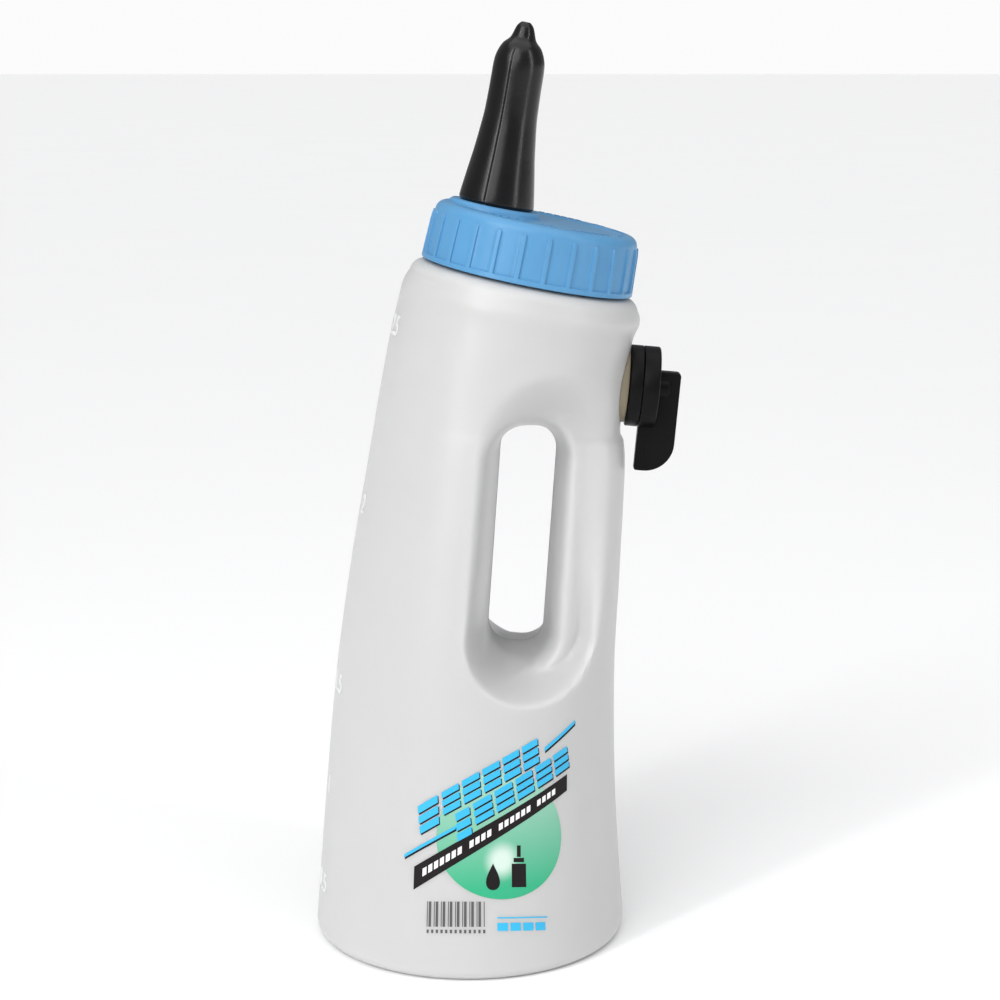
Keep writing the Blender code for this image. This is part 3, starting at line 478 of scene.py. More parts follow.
def wall_place(x, z):
    """The inverse of wall_points on the front half: v by halving, phi from the section."""
    low = np.full(np.shape(x), 0.0)
    high = np.full(np.shape(x), TOP_PLACE)
    for _ in range(44):
        v = (low + high) / 2
        left = through(LEFT_SIDE, v)
        right = through(RIGHT_SIDE, v)
        span = right - left
        above = span[..., 0] * (z - left[..., 1]) - span[..., 1] * (x - left[..., 0]) > 0
        low = np.where(above, v, low)
        high = np.where(above, high, v)
    middle = (left + right) / 2
    half = span / 2
    share = ((x - middle[..., 0]) * half[..., 0] + (z - middle[..., 1]) * half[..., 1])
    share = share / (half * half).sum(-1)
    return v, -np.arccos(np.clip(share, -1.0, 1.0)), share


def slot_outline(spare, ends, sides):
    """(x, z) points round the finger hole grown by spare, starting low on its left side, with
    `ends` steps round each end and `sides` steps up each long side."""
    radius = SLOT_CORNER + spare
    tail = radius * END_TAIL
    straight = 2 * (SLOT_HALF[0] - SLOT_CORNER)
    side = 2 * (SLOT_HALF[1] - SLOT_CORNER) - 2 * tail
    lengths = np.array([tail, radius * math.pi / 2, straight, radius * math.pi / 2, tail])
    marks = np.concatenate(([0.0], np.cumsum(lengths)))
    s = np.linspace(0.0, marks[-1], ends + 1)[:-1]
    corner_x = SLOT_HALF[0] - SLOT_CORNER
    corner_z = SLOT_HALF[1] - SLOT_CORNER
    turn_left = (s - marks[1]) / radius
    turn_right = (s - marks[3]) / radius
    stretch = (s < marks[1], s < marks[2], s < marks[3], s < marks[4])
    x = np.select(
        stretch,
        (-corner_x - radius, -corner_x - radius * np.cos(turn_left),
         -corner_x + s - marks[2], corner_x + radius * np.sin(turn_right)),
        corner_x + radius,
    )
    z = np.select(
        stretch,
        (-corner_z + tail - s, -corner_z - radius * np.sin(turn_left),
         -corner_z - radius, -corner_z - radius * np.cos(turn_right)),
        -corner_z + s - marks[4],
    )
    rise = -corner_z + tail + side * np.arange(sides) / sides
    half_x = np.concatenate((x, np.full(sides, corner_x + radius)))
    half_z = np.concatenate((z, rise))
    across = np.concatenate((half_x, -half_x))
    up = np.concatenate((half_z, -half_z))
    cos, sin = math.cos(SLOT_LEAN), math.sin(SLOT_LEAN)
    return SLOT_MIDDLE[0] + across * cos + up * sin, SLOT_MIDDLE[1] + up * cos - across * sin


def handle_patch():
    """Rings of wall points on the front, from the finger hole's edge out to the patch's border:
    first over the roll, close together at its start, then straight in (v, phi)."""
    ends, sides = PATCH_COLUMNS, PATCH_ROWS
    x, z = slot_outline(0.0, ends, sides)
    rings = [np.stack((x, np.zeros_like(x), z), axis=-1)]
    for step in range(1, ROLL_STEPS + 1):
        turn = step / ROLL_STEPS
        spare = SLOT_ROLL * (turn + 1 - math.cos(turn * math.pi / 2)) / 2
        v, phi, _ = wall_place(*slot_outline(spare, ends, sides))
        rings.append(wall_points(v, phi))
    width = TAU * PATCH_COLUMNS / COLUMNS
    across = -width * (1 - np.arange(ends) / ends)
    up = PATCH_LOW + (PATCH_HIGH - PATCH_LOW) * np.arange(sides) / sides
    border_v = np.concatenate(
        (np.full(ends, PATCH_LOW), up, np.full(ends, PATCH_HIGH), PATCH_LOW + PATCH_HIGH - up)
    )
    border_phi = np.concatenate(
        (across, np.zeros(sides), -width - across, np.full(sides, -width))
    )
    t = (np.arange(1, SPREAD_STEPS + 1) / SPREAD_STEPS)[:, None]
    spread = wall_points(v + (border_v - v) * t, phi + (border_phi - phi) * t)
    return np.concatenate((np.stack(rings), spread))


def neck_rings(radius_height, angle):
    """Rings on the tilted neck in the bottle's own axes, before the shift of the foot."""
    points = revolve(radius_height, angle)
    return placed(points, NECK) - (FOOT_X, 0.0, 0.0)


def base_rings(angle):
    """Rings of the bottom: a raised middle that falls softly to the standing ring, then the
    quarter round up to the wall."""
    radii = np.concatenate((
        np.linspace(0.0006, PUSH_UP_RADIUS, 9),
        np.linspace(PUSH_UP_RADIUS, FOOT_RING_IN, 8)[1:],
        np.linspace(FOOT_RING_IN, FOOT_RADIUS - FOOT_ROUND, 5)[1:],
    ))
    fall = smooth((radii - PUSH_UP_RADIUS) / (FOOT_RING_IN - PUSH_UP_RADIUS))
    profile = list(zip(radii, PUSH_UP * (1 - fall)))
    profile += arc((FOOT_RADIUS - FOOT_ROUND, FOOT_ROUND), FOOT_ROUND, -90, 0, 7)[1:-1]
    return revolve(profile, angle)


def bottle_skin():
    """The whole outer skin, from the middle of the bottom to the open rim."""
    turn = turn_angles(COLUMNS)
    base = base_rings(turn)
    low_v = np.linspace(0.0, PATCH_LOW, 20)
    low = wall_points(*np.meshgrid(low_v, turn, indexing="ij"))
    points, faces = sheet(np.concatenate((base, low)), around=True)
    pole, cap = fan(base[0], 0)
    cap = np.where(cap == COLUMNS, len(points), cap)
    bottom = (np.concatenate((points, pole)), np.concatenate((faces, cap)))
    rows = PATCH_LOW + (PATCH_HIGH - PATCH_LOW) * np.arange(PATCH_ROWS + 1) / PATCH_ROWS
    back = turn[PATCH_COLUMNS:COLUMNS - PATCH_COLUMNS + 1]
    rest = sheet(wall_points(*np.meshgrid(rows, back, indexing="ij")))
    patch = handle_patch()
    high_v = np.linspace(PATCH_HIGH, TOP_PLACE, 26)
    high = wall_points(*np.meshgrid(high_v, turn, indexing="ij"))
    rounded = neck_rings(SHOULDER_RINGS + ((NECK_RADIUS, 0.0),), turn)
    shoulder = np.concatenate((high[-3:-1:2], high[-1:], rounded))
    shoulder = through(shoulder, np.linspace(1.0, len(shoulder) - 1.0, 22)[1:])
    neck = neck_rings([(NECK_RADIUS, h) for h in np.linspace(0.0, RIM_HEIGHT, 8)[1:]], turn)
    top = sheet(np.concatenate((high, shoulder, neck)), around=True)
    front = sheet(patch, around=True, flip=True)
    behind = sheet(patch * (1, -1, 1), around=True)
    points, faces = welded(*joined([bottom, rest, front, behind, top]))
    return points + (FOOT_X, 0.0, 0.0), faces


def open_valve_hole(points, faces):
    """Take out the faces about the valve's axis and draw the cut's edge onto a circle."""
    origin, out = VALVE
    offset = points - origin
    along_axis = offset @ out
    across = offset - along_axis[:, None] * out
    distance = np.linalg.norm(across, axis=1)
    near = (distance < WALL_HOLE + 0.0006) & (np.abs(along_axis) < GROMMET_RADIUS)
    gone = near[faces].all(axis=1)
    edge = np.zeros(len(points), dtype=bool)
    edge[faces[gone]] = True
    stays = np.zeros(len(points), dtype=bool)
    stays[faces[~gone]] = True
    edge &= stays
    points = points.copy()
    points[edge] += across[edge] * (WALL_HOLE / distance[edge] - 1)[:, None]
    used, fresh = np.unique(faces[~gone], return_inverse=True)
    return points[used], fresh.reshape(-1, 4)


def helix_thread(sizes, place, sink=0.0006, wide=0.0011):
    """A thread ridge wound about Z: a rounded section carried along a helix, its ends run out
    into the wall."""
    root, crest, low = sizes
    t = np.linspace(0.0, 1.0, 140)
    angle = TAU * THREAD_TURNS * t
    lift = low + THREAD_PITCH * THREAD_TURNS * t
    grow = smooth(np.minimum(t, 1 - t) / 0.09)
    turn = np.linspace(0.0, math.pi, 9)
    up = wide * np.concatenate((np.cos(turn), (-1.15, 1.15)))
    out = np.concatenate((np.sin(turn) ** 0.7, (0.0, 0.0))) * (crest - root)
    out[-2:] = -sink * np.sign(crest - root)
    radius = root + out[None] * grow[:, None] - sink * np.sign(crest - root) * (1 - grow[:, None])
    rings = np.stack((
        radius * np.cos(angle)[:, None], radius * np.sin(angle)[:, None], lift[:, None] + up[None]
    ), axis=-1)
    points, faces = closed_tube(rings)
    return placed(points, place), faces


# ---------------------------------------------------------------- marks and print on the wall
WALL_TABLE = np.linspace(0.0, TOP_PLACE, 600)
LABEL_RADIUS = 0.0615
LABEL_BOW = 0.022
LABEL_LEVEL = 0.937


def on_wall(u, w, lift):
    """Points on the wall, u metres round from the front line, w metres up, lifted off it."""
    phi = -math.pi / 2 + u / LABEL_RADIUS
    left = through(LEFT_SIDE, WALL_TABLE)[:, 1]
    right = through(RIGHT_SIDE, WALL_TABLE)[:, 1]
    v = np.interp(w, (left + right) / 2, WALL_TABLE)
    for _ in range(12):
        slant = np.interp(v, WALL_TABLE, (right - left) / 2)
        v = np.interp(w - slant * np.cos(phi), (left + right) / 2, WALL_TABLE)
    step = 1e-3
    point = wall_points(v, phi)
    normal = np.cross(wall_points(v, phi + step) - point, wall_points(v + step, phi) - point)
    normal = normal / np.linalg.norm(normal, axis=-1, keepdims=True)
    return point + normal * np.asarray(lift)[..., None] + (FOOT_X, 0.0, 0.0)


def printed(flat, faces, lift, sunk=0.00012):
    """A thin closed film over a flat (u, w) sheet in millimetres, bowed up round the curve so
    that straight lines of the art look straight to someone who stands before it."""
    u = flat[:, 0] / 1000
    w = flat[:, 1] / 1000 + LABEL_BOW * (np.cos(u / LABEL_RADIUS) - LABEL_LEVEL)
    return walled(on_wall(u, w, lift), on_wall(u, w, -sunk), faces)


def patch_between(corners, low=0.0, high=1.0, bottom=0.0, top=1.0):
    """A flat grid in the quadrilateral of four corners (left low, right low, right high, left
    high), cut to the given shares of its length and height."""
    corners = np.asarray(corners, float)
    length = np.linalg.norm(corners[1] - corners[0]) * (high - low)
    across = np.linspace(low, high, max(2, int(length / 1.5) + 2))
    up = np.linspace(bottom, top, 5)
    s, t = np.meshgrid(up, across, indexing="ij")
    low_edge = corners[0] + (corners[1] - corners[0]) * t[..., None]
    high_edge = corners[3] + (corners[2] - corners[3]) * t[..., None]
    points = low_edge + (high_edge - low_edge) * s[..., None]
    flat = np.concatenate((points, np.zeros(points.shape[:2] + (1,))), axis=-1)
    return sheet(flat)


def round_patch(middle, outline, rings):
    """A flat sheet that fills an outline about its middle, in rings and a fan."""
    share = np.linspace(0.04, 1.0, rings)[:, None, None]
    flat = np.asarray(middle) + (np.asarray(outline) - middle) * share
    flat = np.concatenate((flat, np.zeros(flat.shape[:2] + (1,))), axis=-1)
    points, faces = sheet(flat, around=True, flip=True)
    pole, cap = fan(flat[0], 0, flip=True)
    cap = np.where(cap == flat.shape[1], len(points), cap)
    return np.concatenate((points, pole)), np.concatenate((faces, cap))


DISC_MIDDLE = (13.4, 60.2)
DISC_RADIUS = 26.6
BAND = ((-22.0, 37.5), (43.3, 79.2), (43.3, 86.0), (-22.0, 47.2))
UPPER_ROW = ((-10.6, 68.6), (30.4, 91.6), (29.2, 101.4), (-11.8, 77.9))
UPPER_FIRST = ((-20.0, 60.7), (-12.2, 65.2), (-13.4, 77.0), (-21.6, 72.2))
LOWER_ROW = ((2.6, 64.6), (45.8, 90.2), (44.4, 98.6), (1.2, 73.2))
LOWER_FIRST = ((-4.4, 57.6), (1.2, 60.8), (-0.2, 72.2), (-5.8, 69.0))
STROKES = (
    ((-26.5, 50.9), (-5.4, 62.8), (-5.4, 64.2), (-26.5, 52.3)),
    ((31.6, 95.2), (47.5, 107.4), (47.5, 109.0), (31.6, 96.8)),
)
SHADOW = (0.45, -0.55)
BAR_COUNT = 5                    # bars in a row, each cut across into thinner slabs
BAR_SHARE = 0.84
SLABS = ((0.0, 0.27), (0.37, 0.63), (0.73, 1.0))
WORDS = (7, 4, 6, 4)
DROP_MIDDLE = (9.8, 43.0)
DROP_SIZE = (3.9, 5.6)
BOTTLE_ICON = (                  # (left, low, right, high) blocks of a small feeding bottle
    (17.4, 38.6, 23.4, 48.4), (18.2, 49.0, 22.6, 50.8), (19.6, 51.2, 21.2, 56.0),
)
BARS_FROM = (-16.2, 22.2)
BARS_TO = (6.8, 32.7)
DIGITS = (19.5, 21.0)
MAKER = (11.4, 20.4, 32.2, 23.8)
MAKER_RULE = (11.4, 25.6, 32.2, 26.2)
MAKER_BLOCKS = 4
STROKE_SHADOW = (0.3, -0.8)
GLOW_MIDDLE = (0.0134, 0.0505)   # soft light spot on the round ground, in metres
GLOW_SIZE = (0.0085, 0.0300, 0.0095)

# How far each film stands off the wall, in metres, lowest first.
GROUND_LIFT = 0.00004
CODE_LIFT = 0.00005
DARK_LIFT = 0.00007
SHADOW_LIFT = 0.00009
WHITE_LIFT = 0.00010
BLUE_LIFT = 0.00011


def shifted(corners, move):
    """The corners moved by (u, w)."""
    return [(u + move[0], w + move[1]) for u, w in corners]


def block(left, low, right, high):
    """The four corners of an upright block."""
    return ((left, low), (right, low), (right, high), (left, high))


def word_bars(row, first):
    """Stacks of plain slanting slabs in place of a word, the first stack larger."""
    bars = [(first, 0.0, 1.0, low, high) for low, high in SLABS]
    for k in range(BAR_COUNT):
        bars += [(row, k / BAR_COUNT, (k + BAR_SHARE) / BAR_COUNT, low, high) for low, high in SLABS]
    return bars


def label_art():
    """The label's flat sheets by ink: a round ground, a slanting band, rows of plain bars in
    place of words, a bottle and a milk drop, and a bar code that codes nothing."""
    turn = turn_angles(120)
    circle = np.stack((np.cos(turn), np.sin(turn)), axis=-1) * DISC_RADIUS + DISC_MIDDLE
    ground = [(round_patch(DISC_MIDDLE, circle, 26), GROUND_LIFT)]
    bars = word_bars(UPPER_ROW, UPPER_FIRST) + word_bars(LOWER_ROW, LOWER_FIRST)
    dark = [(patch_between(BAND), DARK_LIFT)]
    dark += [(patch_between(shifted(row, SHADOW), *cut), SHADOW_LIFT) for row, *cut in bars]
    dark += [(patch_between(shifted(stroke, STROKE_SHADOW)), SHADOW_LIFT) for stroke in STROKES]
    blue = [(patch_between(row, *cut), BLUE_LIFT) for row, *cut in bars]
    blue += [(patch_between(stroke), BLUE_LIFT) for stroke in STROKES]
    left, low, right, high = MAKER
    pitch = (right - left) / MAKER_BLOCKS
    for start in left + np.arange(MAKER_BLOCKS) * pitch:
        blue.append((patch_between(block(start, low, start + 0.82 * pitch, high)), CODE_LIFT))
    blue.append((patch_between(block(*MAKER_RULE)), CODE_LIFT))
    half = turn_angles(72)
    drop = np.stack((np.sin(half) * np.abs(np.sin(half / 2)) ** 1.4, np.cos(half)), axis=-1)
    drop = drop * DROP_SIZE + DROP_MIDDLE
    middle = (DROP_MIDDLE[0], DROP_MIDDLE[1] - 0.3 * DROP_SIZE[1])
    dark.append((round_patch(middle, drop[::-1], 8), DARK_LIFT))
    dark += [(patch_between(block(*sides)), DARK_LIFT) for sides in BOTTLE_ICON]
    number = np.arange(34)
    widths = 1.0 + (number * number * 5 + number * 3) % 4
    edges = np.concatenate(([0.0], np.cumsum(widths))) / widths.sum()
    places = BARS_FROM[0] + (BARS_TO[0] - BARS_FROM[0]) * edges
    code = []
    for left, right in zip(places[0:-1:2], places[1::2]):
        code.append((patch_between(block(left, BARS_FROM[1], right, BARS_TO[1])), CODE_LIFT))
    for left in np.linspace(BARS_FROM[0], BARS_TO[0] - 1.0, 13):
        code.append((patch_between(block(left, DIGITS[0], left + 0.9, DIGITS[1])), CODE_LIFT))
    white = []
    letters = sum(WORDS) + len(WORDS) - 1
    place = 0
    for word in WORDS:
        for letter in range(place, place + word):
            start = 0.055 + 0.86 * letter / letters
            dash = patch_between(BAND, start, start + 0.60 / letters, 0.34, 0.68)
            white.append((dash, WHITE_LIFT))
        place += word + 1
    return {
        "label_ground": ground, "label_dark": dark, "label_code": code, "label_blue": blue,
        "label_white": white,
    }


SEAM_RUNS = (                    # (phi, from place, to place) of the line up the two sides
    (math.pi, 0.02, 9.9), (0.0, 0.02, 5.55), (0.0, 8.75, 9.9),
)
BOTTOM_SEAM = 0.036
MARKS = (("2.5", 0.2622), ("2", 0.1882), ("1.5", 0.1123), ("1", 0.0677), ("0.5", 0.0254))
MARKS_PHI = math.radians(-166.0)


def raised_marks(size, height):
    """The moulded numbers up the bottle's left side, as one mesh whose text is cut fine and laid
    on the wall."""
    u_middle = (MARKS_PHI + math.pi / 2) * LABEL_RADIUS
    bm = bmesh.new()
    for text, level in MARKS:
        curve = bpy.data.curves.new("mark", "FONT")
        curve.body = text
        curve.size = size / 0.7
        curve.extrude = 0.5
        curve.align_x = "CENTER"
        source = bpy.data.objects.new("mark", curve)
        bpy.context.collection.objects.link(source)
        mesh = bpy.data.meshes.new_from_object(source)
        mesh.transform(Matrix.Translation((u_middle, level - size / 2, 0.0)))
        bm.from_mesh(mesh)
        bpy.data.objects.remove(source)
        bpy.data.curves.remove(curve)
        bpy.data.meshes.remove(mesh)
    bmesh.ops.remove_doubles(bm, verts=bm.verts, dist=1e-6)
    bmesh.ops.triangulate(bm, faces=bm.faces)
    for _ in range(3):
        long_edges = [
            edge for edge in bm.edges
            if (edge.verts[0].co.xy - edge.verts[1].co.xy).length > 0.0016
        ]
        bmesh.ops.subdivide_edges(bm, edges=long_edges, cuts=1)
        bmesh.ops.triangulate(bm, faces=bm.faces)
    mesh = bpy.data.meshes.new("graduation_marks")
    bm.to_mesh(mesh)
    bm.free()
    flat = np.empty(len(mesh.vertices) * 3, dtype=np.float32)
    mesh.vertices.foreach_get("co", flat)
    flat = flat.reshape(-1, 3).astype(float)
    lift = np.where(flat[:, 2] > 0, height, -height)
    laid = on_wall(flat[:, 0], flat[:, 1], lift)
    mesh.vertices.foreach_set("co", laid.astype(np.float32).ravel())
    mesh.update()
    return mesh


def seam_tube(path, outward, width, height):
    """A low ridge along a path: half a lens section, its ends shut, its foot in the wall."""
    turn = np.linspace(0.0, math.pi, 9)
    side = np.concatenate((np.cos(turn), (-1.0, 1.0))) * width / 2
    rise = np.concatenate((np.sin(turn) * height, (-0.0004, -0.0004)))
    rings = path[:, None] + outward[:, None] * rise[None, :, None]
    rings[..., 1] += side
    return rings


def parting_lines(width, height):
    """The mould's parting line up both sides of the bottle, clear of the valve, round the
    inside of the finger hole, and across the raised bottom."""
    sheets = []
    for phi, low, high in SEAM_RUNS:
        v = np.linspace(low, high, int((high - low) * 22))
        angle = np.full(len(v), phi)
        path = wall_points(v, angle)
        ahead = wall_points(v + 1e-3, angle) - path
        out = np.stack((ahead[:, 2], np.zeros(len(v)), -ahead[:, 0]), axis=-1)
        out = out / np.linalg.norm(out, axis=1)[:, None] * math.cos(phi)
        sheets.append(closed_tube(seam_tube(path + (FOOT_X, 0, 0), out, width, height)))
    x, z = slot_outline(0.0, PATCH_COLUMNS, PATCH_ROWS)
    path = np.stack((x + FOOT_X, np.zeros_like(x), z), axis=-1)
    ahead = np.roll(path, -1, axis=0) - np.roll(path, 1, axis=0)
    out = np.stack((-ahead[:, 2], np.zeros(len(x)), ahead[:, 0]), axis=-1)
    out = out / np.linalg.norm(out, axis=1)[:, None]
    sheets.append(sheet(seam_tube(path, out, width, height), around=True, over=True))
    x = np.linspace(-BOTTOM_SEAM, BOTTOM_SEAM, 30)
    path = np.stack((x + FOOT_X, np.zeros_like(x), np.full(len(x), PUSH_UP)), axis=-1)
    down = np.tile((0.0, 0.0, -1.0), (len(x), 1))
    sheets.append(closed_tube(seam_tube(path, down, width * 1.6, height * 5)))
    return sheets


# ---------------------------------------------------------------- cap and teat
def rib_columns(ribs, width):
    """Angles round the cap, and each one's distance along the rim from its rib's middle: close
    together over a rib's flanks and wide apart between ribs."""
    pitch = TAU * CAP_FOOT_RADIUS / ribs
    flank = width / 2
    near = np.array(RIB_PLACES) * flank
    between = np.linspace(near[-1], pitch - near[-1], 7)[1:-1]
    offset = np.concatenate((near, between))
    angle = (np.arange(ribs)[:, None] * TAU / ribs + offset / CAP_FOOT_RADIUS).ravel()
    away = np.minimum(np.abs(offset), pitch - np.abs(offset))
    return angle, np.tile(away, ribs)


def cap_side(height):
    """The skirt's outer radius at a height, by its draft."""
    return CAP_FOOT_RADIUS - height * math.tan(CAP_DRAFT)


def nested(outer, inner, share, angle):
    """Points between two circles given as (middle x, radius), by share of the way, angle kept."""
    middle = outer[0] + (inner[0] - outer[0]) * share
    radius = outer[1] + (inner[1] - outer[1]) * share
    return middle + radius * np.cos(angle), radius * np.sin(angle)


def cap_skin(ribs, rib_depth, rib_width):
    """The cap as one closed grid: up the ribbed skirt, over the rounded shoulder, in across the
    dished top to the off-centre collar, down the teat's hole, out underneath and down inside."""
    angle, away = rib_columns(ribs, rib_width)
    end = CAP_HEIGHT - CAP_ROUND - 0.0012
    shoulder = CAP_HEIGHT - CAP_ROUND
    heights = np.concatenate((
        (0.00025, 0.0010, 0.0016, 0.0019), CAP_BAND + np.array((0.0, 0.00012, 0.00024, 0.0004, 0.0007)),
        np.linspace(CAP_BAND + 0.0016, end - 0.0006, 8), np.linspace(end - 0.0002, shoulder, 9),
    ))[:, None]
    beyond = np.hypot(away, np.maximum(heights - end, 0.0))
    rib = smooth((rib_width / 2 + RIB_SOFT / 2 - beyond) / RIB_SOFT)
    band = smooth((CAP_BAND + 0.0002 - heights) / 0.0003)
    relief = np.maximum(rib * (1 - 0.25 * smooth((heights - end + 0.003) / 0.004)), band)
    radius = cap_side(heights) - rib_depth * (1 - relief)
    skirt = ring(radius, np.broadcast_to(heights, radius.shape), np.broadcast_to(angle, radius.shape))
    foot = revolve([(CAP_INSIDE_RADIUS + 0.0004, 0.0), (cap_side(0.0) - 0.0003, 0.0)], angle)
    edge = cap_side(shoulder) - rib_depth
    rim = revolve(arc((edge - CAP_ROUND, shoulder), CAP_ROUND, 0, 90, 12)[1:], angle)
    share = np.linspace(0.0, 1.0, 40)[1:, None]
    x, y = nested((0.0, edge - CAP_ROUND), (-TEAT_OFFSET, COLLAR_RADIUS + 0.0004), share, angle)
    sunk = CAP_DISH * smooth((CAP_DISH_RADIUS - np.hypot(x, y)) / 0.0009 + 0.5)
    plate = np.stack((x, y, CAP_HEIGHT - sunk), axis=-1)
    top = CAP_HEIGHT + COLLAR_HEIGHT
    collar_profile = [
        (COLLAR_RADIUS + 0.0001, CAP_HEIGHT + 0.0001), (COLLAR_RADIUS, CAP_HEIGHT + 0.0005),
        (COLLAR_RADIUS - 0.0003, CAP_HEIGHT + 0.0009), (COLLAR_RADIUS - 0.0008, top - 0.0003),
        (COLLAR_RADIUS - 0.0012, top), (COLLAR_RADIUS - 0.0019, top),
        (COLLAR_RADIUS - 0.0023, top - 0.0003), (COLLAR_RADIUS - 0.0031, top - 0.0003),
        (COLLAR_RADIUS - 0.0034, top), (TEAT_HOLE + 0.0003, top),
        (TEAT_HOLE, top - 0.0003), (TEAT_HOLE, CAP_HEIGHT - CAP_PLATE),
    ]
    collar = revolve(collar_profile, angle) - (TEAT_OFFSET, 0.0, 0.0)
    share = np.linspace(0.0, 1.0, 14)[1:, None]
    x, y = nested((-TEAT_OFFSET, TEAT_HOLE), (0.0, CAP_INSIDE_RADIUS - 0.0004), share, angle)
    under = np.stack((x, y, np.full(x.shape, CAP_HEIGHT - CAP_PLATE)), axis=-1)
    inside = revolve(
        [(CAP_INSIDE_RADIUS, h) for h in np.linspace(CAP_HEIGHT - CAP_PLATE - 0.0004, 0.0004, 8)], angle
    )
    grid = np.concatenate((foot, skirt, rim, plate, collar, under, inside))
    return sheet(placed(grid, NECK), around=True, over=True)


RAISED_DASHES = ((5, 2, 6, 3), 0.0353, 0.0012, 0.00028)   # words, radius, size, height


def cap_dashes():
    """Low raised dashes in groups round most of the cap's rim, in place of words."""
    words, radius, size, height = RAISED_DASHES
    sheets = []
    count = sum(words) + len(words) * 2
    place = 0
    pitch = math.radians(252) / (2 * count)
    for word in words + words:
        for letter in range(place, place + word):
            middle = -math.radians(126) + (letter + 0.5) * pitch
            across = radius + np.array((-0.5, 0.0, 0.5)) * size
            along = middle + np.linspace(-0.36, 0.36, 4) * pitch
            r, a = np.meshgrid(across, along, indexing="ij")
            outer = ring(r, np.full(r.shape, CAP_HEIGHT + height), a).reshape(-1, 3)
            inner = outer - (0.0, 0.0, height + 0.0008)
            _, faces = sheet(np.zeros(r.shape + (3,)))
            sheets.append(walled(placed(outer, NECK), placed(inner, NECK), faces))
        place += word + 2
    return sheets


def teat_skin(seam_depth):
    """The teat as one closed grid: up its outside and down its hollow.  Each ring leans across
    by its height, and two thin lines from the mould run up opposite sides."""
    near = np.array((0.0, 0.012, 0.025, 0.045, 0.08))
    half = np.concatenate((near, np.linspace(0.14, math.pi - 0.14, 46), math.pi - near[:0:-1]))
    angle = TEAT_SEAM + np.concatenate((half, half + math.pi))
    off = np.minimum(np.concatenate((half, half)), math.pi - np.concatenate((half, half)))
    under = CAP_HEIGHT - CAP_PLATE - GAP
    over = CAP_HEIGHT + COLLAR_HEIGHT + GAP
    neck = TEAT_HOLE - GAP
    side = through(TEAT_SIDE, np.linspace(0.0, len(TEAT_SIDE) - 1.0, TEAT_STEPS))
    flange = arc((TEAT_FLANGE - 0.0008, under - 0.0008), 0.0008, 0, 90, 4)
    profile = [(TEAT_MOUTH, under - TEAT_FLANGE_THICK), (TEAT_FLANGE, under - TEAT_FLANGE_THICK)]
    profile += flange + [(neck, under), (neck, over)]
    hollow = through(TEAT_INSIDE, np.linspace(0, len(TEAT_INSIDE) - 1.0, HOLLOW_STEPS))
    profile += [(r, over + h) for r, h in np.concatenate((side, hollow))]
    radius, height = np.asarray(profile).T
    line = np.exp(-((off[None] * radius[:, None]) / SEAM_SOFT) ** 2)
    shows = smooth((height - over) / 0.002) * smooth((over + SEAM_TOP - height) / 0.004)
    outside = np.arange(len(profile)) < len(profile) - HOLLOW_STEPS
    radius = radius[:, None] - seam_depth * line * (shows * outside)[:, None]
    height = np.broadcast_to(height[:, None], radius.shape)
    rings = ring(radius, height, np.broadcast_to(angle, radius.shape))
    rings[..., 0] -= np.maximum(0.0, rings[..., 2] - over) * math.tan(TEAT_LEAN) + TEAT_OFFSET
    return sheet(placed(rings, NECK), around=True, over=True)


# ---------------------------------------------------------------- the air valve
def outside_wall(points):
    """Which points lie outside the bottle's outer wall: their depth beyond that of the section."""
    x = points[..., 0] - FOOT_X
    v, phi, share = wall_place(x, points[..., 2])
    depth = np.abs(wall_points(v, phi)[..., 1])
    return (np.abs(points[..., 1]) > depth) | (share > 1.0)


def grommet_skin():
    """The grommet's outer disc, without its part inside the wall: a flat rounded front, and a
    back that follows the wall, found along the valve's axis by halving."""
    angle = turn_angles(96)
    low = np.full((7, len(angle)), -0.0120)
    high = np.full((7, len(angle)), 0.0)
    radius = np.linspace(STEM_RADIUS + GAP, GROMMET_RADIUS, 7)[:, None]
    radius = np.broadcast_to(radius, low.shape)
    turn = np.broadcast_to(angle, low.shape)
    for _ in range(30):
        middle = (low + high) / 2
        out = outside_wall(placed(ring(radius, middle, turn), VALVE))
        high = np.where(out, middle, high)
        low = np.where(out, low, middle)
    back = ring(radius, np.minimum(high + 0.0001, -0.0008), turn)
    edge = 0.0004
    profile = arc((GROMMET_RADIUS - edge, -GAP - edge), edge, 0, 90, 4) + [(STEM_RADIUS + GAP, -GAP)]
    front = revolve(profile, angle)
    return sheet(placed(np.concatenate((back, front)), VALVE), around=True, over=True)


def valve_base_skin():
    """The fixed disc and its hollow stem, one profile turned about the axis."""
    edge = 0.0006
    profile = [(STEM_BORE, -STEM_LENGTH + SEAT_THICK), (SEAT_BORE, -STEM_LENGTH + SEAT_THICK)]
    profile += [(SEAT_BORE, -STEM_LENGTH), (STEM_RADIUS - 0.0003, -STEM_LENGTH)]
    profile += [(STEM_RADIUS, -STEM_LENGTH + 0.0003), (STEM_RADIUS, 0.0)]
    profile += arc((VALVE_RADIUS - edge, edge), edge, -90, 0, 5)
    profile += arc((VALVE_RADIUS - 0.0003, FLANGE_THICK - 0.0003), 0.0003, 0, 90, 4)
    profile += [(SPINDLE_HOLE, FLANGE_THICK), (SPINDLE_HOLE, 0.0), (STEM_BORE, 0.0)]
    return sheet(placed(revolve(profile, turn_angles(112)), VALVE), around=True, over=True)


def turned_solid(profile, columns, place):
    """A solid of a (radius, height) profile, both ends shut."""
    points, faces = closed_tube(revolve(profile, turn_angles(columns)))
    return placed(points, place), faces


